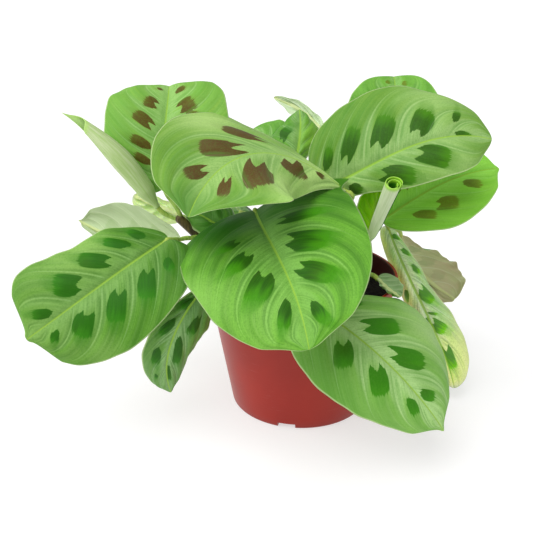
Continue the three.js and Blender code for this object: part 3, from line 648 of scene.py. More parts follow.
def stem_point(points, t):
    """A point at t of the centripetal Catmull-Rom curve through the stem's points."""
    p = np.array(points, float)
    p = np.concatenate([[2 * p[0] - p[1]], p, [2 * p[-1] - p[-2]]])
    place = (len(points) - 1) * np.atleast_1d(np.asarray(t, float))
    k = np.minimum(place.astype(int), len(points) - 2)
    w = (place - k)[:, None]
    a, b, c, d = p[k], p[k + 1], p[k + 2], p[k + 3]
    gaps = [np.sqrt(np.linalg.norm(q - r, axis=1))[:, None] for q, r in ((b, a), (c, b), (d, c))]
    start = (b - a) / gaps[0] - (c - a) / (gaps[0] + gaps[1]) + (c - b) / gaps[1]
    end = (c - b) / gaps[1] - (d - b) / (gaps[1] + gaps[2]) + (d - c) / gaps[2]
    start = start * gaps[1]
    end = end * gaps[1]
    cubic = (2 * b - 2 * c + start + end) * w ** 3 + (3 * c - 3 * b - 2 * start - end) * w ** 2
    return cubic + start * w + b


# Materials
class Board:
    """A node tree, with short ways to place its nodes and join them."""

    def __init__(self, tree):
        self.tree = tree

    def add(self, kind, inputs=(), **settings):
        node = self.tree.nodes.new(kind)
        for key, value in settings.items():
            setattr(node, key, value)
        for key, value in dict(inputs).items():
            self.put(node.inputs[key], value)
        return node

    def put(self, socket, value):
        if isinstance(value, bpy.types.NodeSocket):
            self.tree.links.new(value, socket)
        else:
            socket.default_value = value

    def math(self, operation, a, b=0.0):
        return self.add("ShaderNodeMath", {0: a, 1: b}, operation=operation).outputs[0]

    def plus(self, a, b):
        return self.math("ADD", a, b)

    def minus(self, a, b):
        return self.math("SUBTRACT", a, b)

    def times(self, first, *others):
        for other in others:
            first = self.math("MULTIPLY", first, other)
        return first

    def power(self, a, exponent):
        """A power of the value's size, whatever its sign."""
        return self.math("POWER", self.math("ABSOLUTE", a), exponent)

    def from_half(self, a):
        """How far the value's fraction is from a half."""
        return self.math("ABSOLUTE", self.minus(self.math("FRACT", a), 0.5))

    def ramp(self, value, low, high, start=0.0, end=1.0):
        """Moves smoothly from start to end as the value goes from low to high."""
        node = self.add(
            "ShaderNodeMapRange", {0: value, 1: low, 2: high, 3: start, 4: end},
            interpolation_type="SMOOTHSTEP", clamp=True)
        return node.outputs[0]

    def mix(self, share, a, b):
        return self.add("ShaderNodeMix", {0: share, 6: a, 7: b}, data_type="RGBA").outputs[2]

    def noise(self, vector, scale, detail=2.0, rough=0.5):
        inputs = {"Vector": vector, "Scale": scale, "Detail": detail, "Roughness": rough}
        return self.add("ShaderNodeTexNoise", inputs).outputs[0]

    def value(self, name):
        return self.add("ShaderNodeAttribute", attribute_name=name).outputs["Fac"]

    def combine(self, x, y, z=0.0):
        return self.add("ShaderNodeCombineXYZ", {0: x, 1: y, 2: z}).outputs[0]

    def split(self, vector):
        return list(self.add("ShaderNodeSeparateXYZ", {0: vector}).outputs)

    def uv(self, name):
        return self.split(self.add("ShaderNodeUVMap", uv_map=name).outputs[0])[:2]

    def place(self):
        return self.add("ShaderNodeTexCoord").outputs["Object"]

    def scaled(self, *scale):
        return self.add("ShaderNodeMapping", {0: self.place(), 3: scale}).outputs[0]

    def finish(self, shader, colour, roughness, height, strength, depth):
        """Joins a colour, a roughness and a height to the shader."""
        self.put(shader.inputs["Base Color"], colour)
        self.put(shader.inputs["Roughness"], roughness)
        relief = {"Strength": strength, "Distance": depth, "Height": height}
        self.put(shader.inputs["Normal"], self.add("ShaderNodeBump", relief).outputs[0])


def srgb(red, green, blue):
    """A colour given as screen values from 0 to 255."""
    shares = [value / 255.0 for value in (red, green, blue)]
    linear = [s / 12.92 if s <= 0.04045 else ((s + 0.055) / 1.055) ** 2.4 for s in shares]
    return (*linear, 1.0)


def new_group(name, inputs):
    """A node group that gives a colour, a roughness and a height."""
    group = bpy.data.node_groups.new(name, "ShaderNodeTree")
    for label, value in inputs.items():
        kind = "Color" if isinstance(value, tuple) else "Float"
        socket = group.interface.new_socket(label, in_out="INPUT", socket_type="NodeSocket" + kind)
        socket.default_value = value
    for label, kind in (("Color", "Color"), ("Roughness", "Float"), ("Height", "Float")):
        group.interface.new_socket(label, in_out="OUTPUT", socket_type="NodeSocket" + kind)
    board = Board(group)
    return group, board, board.add("NodeGroupInput").outputs, board.add("NodeGroupOutput").inputs


def vein_noise(b, veins, seed, close, long, detail, rough):
    """Noise drawn out along the side veins: how close its streaks lie, and how fast they change along."""
    phase, across = veins
    return b.noise(b.combine(b.times(phase, close), b.times(across, long), seed), 1.0, detail, rough)


def mark_shape(b, fine, notch):
    """A dark mark: two pointed lobes towards the midrib (one when the mark is narrow), sides that bow
    out a little, and a blunt finely toothed outer end. Gives how dark it is, the place along the mark,
    and the distances inside its sides, its outer end and its inner one (mm)."""
    t, x = b.uv("marks")
    length, half = b.uv("mark_size")
    lean = b.minus(b.noise(b.combine(length, half), 3.0, 0.0), 0.5)
    one_lobe = b.times(b.power(x, 1.6), 0.34)
    wave = b.math("COSINE", b.times(b.plus(x, b.times(lean, 0.4)), math.pi))
    two_lobes = b.times(b.power(wave, 1.3), notch)
    broad = b.ramp(half, 3.5, 3.9)
    start = b.plus(b.times(two_lobes, broad), b.times(one_lobe, b.minus(1.0, broad)))
    start = b.plus(start, b.times(lean, x, 0.5))
    inner = b.times(b.minus(t, start), length)
    bow = b.plus(0.72, b.times(b.math("SINE", b.times(t, 2.5)), 0.28))
    side = b.times(b.minus(bow, b.math("ABSOLUTE", x)), half)
    corner = b.times(b.power(x, 4.0), 0.16)
    end = b.times(b.minus(b.minus(1.03, corner), t), length)
    rough = b.minus(fine, 0.5)
    ragged = b.plus(inner, b.times(rough, 3.0))
    near = b.plus(b.math("MINIMUM", ragged, side), b.times(rough, 0.7))
    tooth = b.plus(end, b.times(rough, 7.0))
    mark = b.times(b.ramp(near, -0.3, 0.3), b.ramp(tooth, -0.8, 0.8))
    return mark, t, side, end, inner


def leaf_markings():
    """The upper face: pale zone along the midrib and side veins, dark marks with feathered outer ends,
    fine parallel veinlets, a yellow-green midrib, a pale thin margin that is partly a painted highlight,
    and soft patches of painted light and painted shade, partly the leaf's own tone."""
    group, b, given, out = new_group("leaf_markings", {
        "Blade": srgb(110, 175, 70), "Pale": srgb(160, 205, 140), "Deep": srgb(60, 130, 40),
        "Mark": srgb(50, 110, 35), "Mark Rim": srgb(80, 150, 30), "Tip And Lit": srgb(150, 200, 60),
        "Vein": srgb(175, 210, 150), "Pale Share": 1.0, "Deep Share": 0.4, "Tail Share": 0.5,
        "Rim Start": 0.6, "Mark Share": 0.97, "Notch": 0.22, "Seed": 0.0})
    deep_tone, rim_tone, tip_and_lit_tone, vein_tone = (given[key] for key in ("Deep", "Mark Rim", "Tip And Lit", "Vein"))
    veins = phase, across = b.uv("veins")
    from_base = b.uv("blade")[0]
    fine = vein_noise(b, veins, given["Seed"], 30.0, 2.5, 2.0, 0.6)
    streak = vein_noise(b, veins, given["Seed"], 7.0, 1.6, 1.5, 0.5)
    cloud = b.noise(b.place(), 42.0, 3.0, 0.55)
    grain = b.noise(b.place(), 1000.0, 3.0, 0.7)
    to_vein = b.from_half(phase)
    shift = b.minus(streak, 0.5)
    mark, t, side, end, inner = mark_shape(b, fine, given["Notch"])

    # The blade between the veins, and the pale zone that follows the midrib and each side vein
    deep = b.times(b.ramp(b.plus(to_vein, b.times(shift, 0.5)), 0.1, 0.6), b.ramp(across, 0.1, 0.5))
    colour = b.mix(b.times(deep, given["Deep Share"]), given["Blade"], deep_tone)
    colour = b.mix(b.ramp(streak, 0.45, 0.75, 0.0, 0.22), colour, tip_and_lit_tone)
    rib_zone = b.ramp(b.plus(across, b.times(shift, 0.45)), 0.10, 0.40, 1.0, 0.0)
    band = b.ramp(across, 0.1, 0.85, 0.30, 0.0)
    to_band = b.minus(b.plus(to_vein, b.times(shift, 0.2)), band)
    vein_zone = b.times(b.ramp(to_band, -0.1, 0.08, 1.0, 0.0), b.ramp(across, 0.5, 0.95, 0.85, 0.1))
    pale = b.times(b.math("MAXIMUM", rib_zone, vein_zone), given["Pale Share"])
    colour = b.mix(pale, colour, given["Pale"])
    calm = b.ramp(from_base, 0.78, 0.97, 1.0, 0.25)
    colour = b.mix(b.times(b.ramp(fine, 0.4, 0.68), calm, 0.32), colour, deep_tone)
    colour = b.mix(b.ramp(cloud, 0.4, 0.75, 0.0, 0.3), colour, deep_tone)
    # Painted light and painted shade, partly the leaf's own tone: the soft patches lighten the blade towards
    # the tip-and-lit tone and deepen it towards the deep tone
    shade = b.plus(b.value("shade"), b.times(shift, 0.3))
    colour = b.mix(b.ramp(shade, 0.0, 1.0), colour, tip_and_lit_tone)
    colour = b.mix(b.ramp(shade, 0.0, -1.0), colour, deep_tone)

    # The marks, each with a soft tail beyond its outer end
    tail = b.times(b.ramp(side, -1.5, 1.5), b.ramp(b.plus(end, b.times(shift, 8.0)), -12.0, 1.0))
    tail = b.times(tail, b.ramp(inner, 0.0, 4.0), given["Tail Share"])
    colour = b.mix(tail, colour, rim_tone)
    rim_place = b.minus(b.plus(t, b.times(shift, 0.8)), given["Rim Start"])
    tone = b.mix(b.ramp(rim_place, -0.1, 0.45), given["Mark"], rim_tone)
    tone = b.mix(b.ramp(fine, 0.35, 0.75, 0.0, 0.3), tone, rim_tone)
    tone = b.mix(b.ramp(cloud, 0.45, 0.75, 0.0, 0.35), tone, srgb(52, 52, 10))
    colour = b.mix(b.times(mark, given["Mark Share"]), colour, tone)

    # Veinlets, the shadow beside each side vein and its pale line, fine grain, midrib and margin
    arcs = b.times(b.ramp(b.from_half(b.times(phase, 4.0)), 0.0, 0.28, 1.0, 0.0), b.ramp(across, 0.25, 0.6))
    arcs = b.times(arcs, b.minus(1.0, mark))
    colour = b.mix(b.times(arcs, 0.03), colour, vein_tone)
    shadow = b.times(b.ramp(to_vein, 0.015, 0.06), b.ramp(to_vein, 0.06, 0.2, 1.0, 0.0))
    shadow = b.times(shadow, b.ramp(across, 0.03, 0.2), b.ramp(across, 0.4, 0.9, 1.0, 0.1))
    colour = b.mix(b.times(shadow, 0.42), colour, deep_tone)
    line = b.times(b.ramp(to_vein, 0.008, 0.03, 1.0, 0.0), b.ramp(across, 0.02, 0.1), calm)
    line = b.times(line, b.ramp(across, 0.8, 0.98, 1.0, 0.0))
    colour = b.mix(b.times(line, 0.14), colour, vein_tone)
    colour = b.mix(b.ramp(grain, 0.42, 0.7, 0.0, 0.26), colour, deep_tone)
    midrib = b.ramp(b.plus(b.value("rib"), b.times(from_base, 0.4)), 0.45, 0.95, 1.0, 0.0)
    colour = b.mix(b.times(midrib, 0.8), colour, srgb(146, 188, 64))
    # The pale thin margin: partly the edge's own colour, partly a painted highlight along the edge
    colour = b.mix(b.ramp(b.value("margin"), 0.2, 0.8, 0.7, 0.0), colour, srgb(200, 222, 160))
    b.put(out["Color"], colour)
    b.put(out["Roughness"], b.plus(b.plus(0.38, b.times(cloud, 0.16)), b.times(mark, 0.05)))
    height = b.plus(b.plus(b.times(fine, 0.7), b.times(grain, 0.8)), b.times(line, 0.3))
    b.put(out["Height"], b.minus(height, b.times(midrib, 1.2)))
    return group


def leaf_underside():
    """The lower face: dull grey-green, the marks showing through faintly, a raised pale midrib."""
    group, b, given, out = new_group("leaf_underside", {
        "Under": srgb(178, 198, 150), "Shadow": srgb(120, 150, 95), "Stain": srgb(150, 130, 110),
        "Stain Share": 0.0, "Seed": 0.0})
    veins = phase, across = b.uv("veins")
    fine = vein_noise(b, veins, given["Seed"], 26.0, 3.0, 3.0, 0.6)
    mark = mark_shape(b, fine, 0.22)[0]
    cloud = b.noise(b.place(), 60.0, 3.0, 0.6)
    colour = b.mix(b.ramp(fine, 0.3, 0.8, 0.0, 0.35), given["Under"], given["Shadow"])
    colour = b.mix(b.times(mark, 0.3), colour, given["Shadow"])
    colour = b.mix(b.times(b.ramp(cloud, 0.35, 0.7), given["Stain Share"]), colour, given["Stain"])
    line = b.times(b.ramp(b.from_half(phase), 0.012, 0.05, 1.0, 0.0), b.ramp(across, 0.85, 0.98, 1.0, 0.0))
    colour = b.mix(b.times(line, 0.45), colour, srgb(214, 224, 190))
    colour = b.mix(b.ramp(b.value("rib"), 0.7, 1.4, 0.8, 0.0), colour, srgb(205, 216, 150))
    b.put(out["Color"], colour)
    b.put(out["Roughness"], b.plus(0.5, b.times(cloud, 0.12)))
    b.put(out["Height"], b.plus(b.times(fine, 0.6), b.times(line, 0.8)))
    return group


def new_material(name, roughness=0.5, specular=0.5):
    material = bpy.data.materials.new(name)
    material.use_nodes = True
    tree = material.node_tree
    shader = next(node for node in tree.nodes if node.type == "BSDF_PRINCIPLED")
    shader.inputs["Roughness"].default_value = roughness
    shader.inputs["Specular IOR Level"].default_value = specular
    return material, Board(tree), shader


def leaf_skin(name, leaf, group, values, specular, depth):
    """A material of one of the leaf groups, with its own values, that lets light through where the
    blade is sheer."""
    material, b, shader = new_material(name, specular=specular)
    shader.inputs["Subsurface Weight"].default_value = SHEER.get(leaf, 0.0)
    shader.inputs["Subsurface Radius"].default_value = (0.7, 1.0, 0.3)
    shader.inputs["Subsurface Scale"].default_value = 0.002
    node = b.add("ShaderNodeGroup", values, node_tree=group)
    b.finish(shader, *(node.outputs[key] for key in ("Color", "Roughness", "Height")), 0.4, depth)
    return material


LEAF_MARKINGS = leaf_markings()
LEAF_UNDERSIDE = leaf_underside()

# The tones of the leaves: a grown leaf, a young one with brown marks, and what differs on each blade.
# The lighter colours of right_low and right_droop are partly their own and partly painted light, which
# makes up for the shade that they lie in
GROWN = {
    "Blade": srgb(110, 166, 64), "Pale": srgb(150, 194, 112), "Deep": srgb(66, 128, 36),
    "Mark": srgb(38, 88, 18), "Mark Rim": srgb(50, 122, 14), "Tip And Lit": srgb(138, 192, 60)}
YOUNG = {
    "Blade": srgb(128, 180, 72), "Pale": srgb(166, 204, 126), "Deep": srgb(88, 150, 46),
    "Mark": srgb(84, 52, 40), "Mark Rim": srgb(92, 74, 40), "Tip And Lit": srgb(168, 204, 86), "Tail Share": 0.12}
TONES = {
    "front_centre": {
        **GROWN, "Blade": srgb(110, 172, 54), "Pale": srgb(132, 184, 88), "Deep": srgb(38, 98, 8),
        "Mark": srgb(26, 74, 2), "Mark Rim": srgb(62, 136, 4), "Tip And Lit": srgb(136, 190, 82),
        "Vein": srgb(156, 204, 112), "Pale Share": 0.75, "Deep Share": 0.6, "Tail Share": 0.8,
        "Rim Start": 0.5, "Mark Share": 0.92, "Notch": 0.24},
    "left": {
        **GROWN, "Blade": srgb(94, 147, 48), "Pale": srgb(124, 168, 86), "Deep": srgb(46, 102, 18),
        "Tip And Lit": srgb(138, 182, 88), "Mark": srgb(34, 96, 4), "Deep Share": 0.6, "Notch": 0.2},
    "top_centre": {
        **YOUNG, "Blade": srgb(118, 164, 60), "Pale": srgb(154, 192, 108), "Deep": srgb(78, 132, 48),
        "Mark": srgb(84, 54, 24), "Tip And Lit": srgb(172, 206, 120), "Notch": 0.34},
    "top_left": {
        **YOUNG, "Blade": srgb(126, 178, 74), "Pale": srgb(150, 194, 108), "Mark": srgb(86, 64, 20),
        "Mark Rim": srgb(92, 88, 26), "Notch": 0.3},
    "right_top": {
        **GROWN, "Blade": srgb(114, 156, 60), "Pale": srgb(154, 188, 116), "Mark": srgb(44, 86, 14),
        "Mark Rim": srgb(66, 126, 10), "Tip And Lit": srgb(156, 194, 110), "Pale Share": 0.85},
    "right_low": {
        **GROWN, "Blade": srgb(140, 208, 68), "Deep": srgb(108, 182, 44), "Mark": srgb(98, 116, 28),
        "Mark Rim": srgb(112, 140, 32), "Pale Share": 0.4, "Pale": srgb(160, 222, 104),
        "Tip And Lit": srgb(160, 220, 80), "Tail Share": 0.12},
    "top_right_back": {
        **GROWN, "Blade": srgb(122, 182, 72), "Mark": srgb(108, 124, 30),
        "Mark Rim": srgb(100, 158, 44), "Pale Share": 0.6},
    "bottom_right": {
        **GROWN, "Blade": srgb(132, 184, 84), "Pale": srgb(176, 214, 138), "Mark": srgb(48, 120, 6),
        "Mark Rim": srgb(58, 134, 8), "Tip And Lit": srgb(162, 200, 118), "Tail Share": 0.2,
        "Deep": srgb(82, 142, 44)},
    "right_droop": {
        **GROWN, "Blade": srgb(200, 230, 170), "Pale": srgb(224, 238, 206), "Mark": srgb(76, 126, 56),
        "Mark Rim": srgb(122, 200, 20), "Tip And Lit": srgb(230, 246, 158), "Tail Share": 0.4},
    "lower_left": {
        **GROWN, "Blade": srgb(110, 156, 76), "Pale": srgb(146, 186, 120), "Deep": srgb(58, 112, 36)},
    "left_under": {**GROWN, "Blade": srgb(104, 156, 66)},
    "inner_left": {**GROWN, "Blade": srgb(84, 136, 52), "Pale": srgb(96, 146, 66), "Mark Share": 0.35},
    "centre_back": {
        **GROWN, "Blade": srgb(100, 154, 58), "Pale": srgb(140, 178, 110), "Mark": srgb(46, 88, 24)},
    "sheath": {
        **YOUNG, "Blade": srgb(122, 184, 6), "Pale": srgb(160, 192, 16), "Deep": srgb(84, 156, 2),
        "Tip And Lit": srgb(146, 164, 12), "Pale Share": 0.35, "Deep Share": 0.25},
}
UNDERSIDES = {
    "right_under": {"Under": srgb(196, 204, 152), "Stain": srgb(204, 178, 154), "Stain Share": 0.45},
    "left_under": {"Under": srgb(190, 206, 166), "Shadow": srgb(146, 176, 112)},
    "right_droop": {"Under": srgb(138, 190, 72), "Shadow": srgb(112, 168, 50)},
    # Painted light: left_small's underside is partly lighter than its own colour, to make up for the shade
    # that it lies in
    "left_small": {"Under": srgb(216, 236, 176), "Shadow": srgb(176, 212, 128)},
    "rim_leaf": {"Under": srgb(150, 180, 130), "Shadow": srgb(120, 152, 96)},
    "centre_curl": {"Under": srgb(214, 232, 196), "Shadow": srgb(176, 204, 148)},
}

# How much of the light a thin blade lets through, where that shows
SHEER = {"right_droop": 0.6, "left_small": 0.4, "sheath": 0.5}


def leaf_materials(name, seed):
    """The materials of a leaf's two faces."""
    upper = {**TONES.get(name, GROWN), "Seed": seed * 3.7}
    lower = {**UNDERSIDES.get(name, {}), "Seed": seed * 5.1}
    return [
        leaf_skin("leaf_" + name, name, LEAF_MARKINGS, upper, 0.11, 0.0003),
        leaf_skin("underside_" + name, name, LEAF_UNDERSIDE, lower, 0.14, 0.0004)]


def blade_piece(name, seed):
    """The blade as a closed thin shape: a section runs over the upper face from margin to margin and
    back along the lower one, and both ends close to the midrib's end."""
    blade = Blade(name)
    small = name in SMALL_BLADES
    rows, columns = (SMALL_ROWS, SMALL_COLUMNS) if small else (BLADE_ROWS, BLADE_COLUMNS)
    t = np.arange(1, rows) / rows
    line = np.linspace(-1, 1, columns + 1)
    v = np.broadcast_to(np.sin(line * math.pi / 2) * 0.35 + line * 0.65, (rows - 1, columns + 1))
    u = np.broadcast_to(((1 - np.cos(math.pi * t)) / 2)[:, None], v.shape)
    ahead = blade.surface(u + STEP, v) - blade.surface(u - STEP, v)
    beside = blade.surface(u, np.minimum(v + STEP, 1)) - blade.surface(u, np.maximum(v - STEP, -1))
    normal = unit(np.cross(beside, ahead))
    out = np.abs(v)
    phase = [blade.phases(u, out, -1), blade.phases(u, out, 1)]
    height = blade.relief(u, v, np.where(v < 0, phase[0], phase[1]))
    upper = blade.surface(u, v) + normal * height[..., None]
    rib = out * blade.span(u, v)
    ends = smooth(u / 0.05) * smooth((1 - u) / 0.08)
    thick = BLADE_THICKNESS * np.sqrt(np.clip(1 - out ** 6, 0, 1)) * ends
    keel = (SMALL_KEEL if small else KEEL) * np.exp(-(rib / KEEL_WIDTH) ** 2)
    keel = keel * smooth((1 - u) / 0.6) * (0.35 + 0.65 * smooth(u / 0.06))
    lower = upper - normal * (thick + keel * (1 - out))[..., None]
    back = slice(columns - 1, 0, -1)
    rings = np.concatenate([upper, lower[:, back]], 1)
    points = np.concatenate([rings.reshape(-1, 3), blade.rib(np.array([0.0, 1.0]))[0]])
    faces, owners = ring_faces(rows - 1, 2 * columns, True)
    skins = leaf_materials(name, seed)
    piece = mesh_piece("leaf_" + name + "_blade", points, outward(points, faces), skins, owners >= columns)

    def around(values, last=0.0):
        return np.concatenate([np.concatenate([values, values[:, back]], 1).ravel(), [0.0, last]])

    set_values(piece, "rib", around(rib))
    set_values(piece, "margin", around((1 - out) * blade.span(u, v)))
    set_values(piece, "shade", blade.shade(points))
    loops = np.zeros(len(piece.data.loops), np.int32)
    piece.data.loops.foreach_get("vertex_index", loops)
    counts = np.zeros(len(piece.data.polygons), np.int32)
    piece.data.polygons.foreach_get("loop_total", counts)
    turn = np.where(owners < columns, owners, 2 * columns - 1 - owners)
    on_left = turn < columns / 2
    count = np.where(np.repeat(on_left, counts), around(phase[0])[loops], around(phase[1])[loops] + 17.0)
    set_map(piece, "veins", count, around(out)[loops])
    set_map(piece, "blade", around(u, 1.0)[loops], around(v)[loops])
    starts = np.cumsum(counts) - counts
    sign = np.where(on_left, -1.0, 1.0)
    nearest = np.full(len(counts), 1e6)
    maps = [np.full(len(loops), value) for value in (-9.0, 9.0, 10.0, 5.0)]
    for t, x, length, half, mark_sign in blade.mark_places(points):
        face_t = np.add.reduceat(t[loops], starts) / counts
        face_x = np.add.reduceat(x[loops], starts) / counts
        far = np.maximum((np.abs(face_t - 0.5) - 0.5) * length, (np.abs(face_x) - 1) * half)
        closer = (far < nearest) & (sign == mark_sign)
        nearest = np.where(closer, far, nearest)
        closer = np.repeat(closer, counts)
        maps = [np.where(closer, new, old) for new, old in zip((t[loops], x[loops], length, half), maps)]
    set_map(piece, "marks", maps[0], maps[1])
    set_map(piece, "mark_size", maps[2], maps[3])
    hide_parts("leaf_" + name)
    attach(piece, "root")
    return blade


def set_map(piece, name, x, y):
    layer = piece.data.uv_layers.new(name=name)
    layer.data.foreach_set("uv", np.stack([x, y], 1).astype(np.float32).ravel())


def petiole_piece(name, base, into, stem, place, material, sag=0.0):
    """A petiole: it leaves the stem upwards as a flat sheathing foot, narrows, swells again into the
    short joint below the blade, and runs out under the midrib."""
    start = stem_point(STEMS[stem][1], place)[0]
    reach = np.linalg.norm(base - start)
    pull = PETIOLE_PULL * reach
    bend = base - into * pull - (0, 0, sag)
    curve = bezier([start, start + (0, 0, pull - sag), bend, base], PETIOLE_POINTS)
    beyond = base + into * np.linspace(0.8, 5.0, 5)[:, None] - np.array((0, 0, 0.5))
    path = np.concatenate([curve, beyond])
    run = run_along(path)
    left = run[PETIOLE_POINTS - 1] - run
    radii = PETIOLE_RADIUS + FOOT_SWELL * np.exp(-(run / (0.22 * reach + 3)) ** 2)
    radii = radii + JOINT_SWELL * smooth((10 - left) / 4) * smooth((left + 3) / 5)
    radii = radii * (1 - 0.75 * smooth(-left / 4.5))
    flatten = 1 - FOOT_FLATTEN * np.exp(-(run / 8) ** 2)
    piece = tube_piece("petiole_" + name + "_stalk", path, radii, material, PETIOLE_SIDES, flatten)
    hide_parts("petiole_" + name)
    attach(piece, "root")


def petiole_material():
    """Yellow-green with fine lengthwise streaks, browner at the foot."""
    material, b, shader = new_material("petiole", specular=0.4)
    along = b.value("along")
    streak = b.noise(b.scaled(900.0, 900.0, 60.0), 1.0, 3.0, 0.6)
    colour = b.mix(b.ramp(streak, 0.3, 0.7), srgb(120, 160, 56), srgb(168, 196, 92))
    colour = b.mix(b.ramp(along, 0.0, 0.3, 0.6, 0.0), colour, srgb(112, 96, 44))
    colour = b.mix(b.ramp(along, 0.72, 0.9, 0.0, 0.5), colour, srgb(186, 204, 84))
    b.finish(shader, colour, b.plus(0.42, b.times(streak, 0.15)), streak, 0.4, 0.0003)
    return material


def stem_material():
    """Brown-green bark-like skin with darker rings at the joints and lengthwise lines."""
    material, b, shader = new_material("stem", specular=0.35)
    streak = b.noise(b.scaled(700.0, 700.0, 90.0), 1.0, 4.0, 0.65)
    patch = b.noise(b.place(), 160.0, 3.0, 0.6)
    colour = b.mix(b.ramp(streak, 0.3, 0.72), srgb(52, 44, 20), srgb(100, 88, 42))
    colour = b.mix(b.ramp(patch, 0.55, 0.75, 0.0, 0.6), colour, srgb(96, 110, 46))
    colour = b.mix(b.ramp(b.value("joint"), 0.2, 0.9, 0.0, 0.75), colour, srgb(44, 30, 14))
    b.finish(shader, colour, b.plus(0.45, b.times(patch, 0.2)), streak, 0.6, 0.0005)
    return material


def stem_piece(name, material):
    """A jointed stem: a tube that swells into a ring at equal gaps and ends in a rounded top."""
    radius, points = STEMS[name]
    path = stem_point(points, np.linspace(0, 1, STEM_POINTS))
    run = run_along(path)
    ring = np.exp(-((np.mod(run + 9, RING_GAP) - RING_GAP / 2) / 0.9) ** 2)
    radii = radius * (0.98 - 0.12 * run / run[-1]) + RING_SWELL * ring
    radii = radii * np.sqrt(np.clip((run[-1] - run + 0.2) / 1.6, 0, 1))
    piece = tube_piece("stem_" + name + "_cane", path, radii, material, STEM_SIDES)
    set_values(piece, "joint", np.concatenate([np.repeat(ring, STEM_SIDES), [0.0, 0.0]]))
    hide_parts("stem_" + name)
    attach(piece, "root")


def scroll_rings(roll, turns, sheet, rows, columns, inward, lean):
    """A rolled sheet: at each height a spiral strip, run along its outer side and back along its inner
    side. A point lies at radius(height) * (1 - inward * angle / (2 * pi)) from the axis, and the top
    edge leans. Also gives the share of the height and the turn of every point."""
    base = np.array(roll["base"], float)
    tip = np.array(roll["tip"], float)
    along = tip - base
    axis = unit(along)
    side = unit(np.cross(axis, (0.0, 0.0, 1.0)))
    other = np.cross(axis, side)
    s = np.linspace(0, 1, rows)[:, None]
    foot, waist, head = roll["radii"]
    angle = np.linspace(0, 2 * math.pi * turns, columns)[None]
    shrink = 1 - inward * angle / (2 * math.pi) - (inward - 0.09) * smooth(1 - angle / 1.3)
    wrap = roll["wrap"]
    top = wrap + (1 - wrap) * smooth(angle / (1.7 * math.pi)) + lean * np.cos(angle - 1.0) - 0.003 * angle
    height = s * top
    radius = foot + (waist - foot) * smooth(height / 0.45) + (head - waist) * smooth((height - 0.4) / 0.6)
    radius = radius * (0.35 + 0.65 * smooth(height / 0.16))
    place = base + along * height[..., None]
    place = place + np.array(roll["bow"], float) * (4 * height * (1 - height))[..., None]
    outer = radius * shrink
    inner = np.maximum(outer - sheet, 0.05)
    turned = angle + roll["turn"]

    def ring(r):
        return place + (r * np.cos(turned))[..., None] * side + (r * np.sin(turned))[..., None] * other

    rings = np.concatenate([ring(outer), ring(inner)[:, ::-1]], 1)
    share = np.broadcast_to(s, (rows, 2 * columns)).ravel()
    place_round = np.broadcast_to(np.concatenate([angle, angle[:, ::-1]], 1), (rows, 2 * columns)).ravel()
    return rings, share, place_round


def strip_faces(rows, columns):
    """Faces of a strip of 2 * columns points a ring, with its two narrow ends closed."""
    faces, owners = ring_faces(rows, 2 * columns, False)
    k = np.arange(columns - 1)
    back = 2 * columns - 1 - k
    first = np.stack([k, back, back - 1, k + 1], 1)
    last = np.stack([k, k + 1, back - 1, back], 1) + (rows - 1) * 2 * columns
    caps = first.tolist() + last.tolist()
    return faces + caps, np.concatenate([owners, np.zeros(len(caps), int)])


def scroll_piece(name, roll, turns, rows, columns, inward, lean, materials):
    rings, share, around = scroll_rings(roll, turns, BLADE_THICKNESS, rows, columns, inward, lean)
    points = rings.reshape(-1, 3)
    faces, owners = strip_faces(rows, columns)
    slots = (owners >= columns) | (owners == columns - 1)
    piece = mesh_piece("leaf_" + name + "_scroll", points, outward(points, faces), materials, slots)
    set_values(piece, "along", share)
    set_values(piece, "round", around)
    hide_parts("leaf_" + name)
    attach(piece, "root")


def roll_materials(name, pale, streaks, lip, deep):
    """Outside of a rolled leaf: whitish green with fine lengthwise veins and a yellow-green lip.
    Inside: fresh green at the lip, and painted shade, a deeper green, further down inside the roll."""
    outer, b, shader = new_material(name + "_outside", specular=0.3)
    along = b.value("along")
    streak = b.noise(b.combine(b.times(b.value("round"), 6.0), b.times(along, 3.0)), 1.0, 3.0, 0.6)
    colour = b.mix(b.ramp(streak, 0.3, 0.7), pale, streaks)
    colour = b.mix(b.ramp(along, 0.93, 0.985, 0.0, 0.85), colour, lip)
    colour = b.mix(b.ramp(along, 0.5, 0.0, 0.0, 0.35), colour, lip)
    b.finish(shader, colour, b.plus(0.42, b.times(streak, 0.12)), streak, 0.4, 0.0003)
    inner, b, shader = new_material(name + "_inside", specular=0.2)
    shade = b.noise(b.place(), 300.0, 2.0, 0.5)
    fresh = b.mix(b.times(shade, 0.35), lip, deep)
    # Painted shade: below the lip, the inside turns to the deep colour, where shade falls down the roll
    b.put(shader.inputs["Base Color"], b.mix(b.ramp(b.value("along"), 0.99, 0.93), fresh, deep))
    b.put(shader.inputs["Roughness"], b.plus(0.45, b.times(shade, 0.1)))
    return [outer, inner]


def rolled_leaves():
    """The new leaf, still rolled up into a slim scroll with an open mouth, and the half-open leaf at the
    left, a loosely rolled blade that widens towards the middle."""
    skins = roll_materials(
        "new_roll", srgb(210, 224, 186), srgb(190, 210, 160), srgb(156, 212, 52), srgb(52, 124, 20))
    scroll_piece("new_roll", NEW_ROLL, 2.15, 60, 110, 0.24, 0.02, skins)
    skins = roll_materials(
        "left_rolled", srgb(192, 208, 158), srgb(160, 190, 112), srgb(170, 208, 110), srgb(170, 204, 124))
    scroll_piece("left_rolled", LEFT_ROLLED, 1.15, 70, 90, 0.12, 0.05, skins)


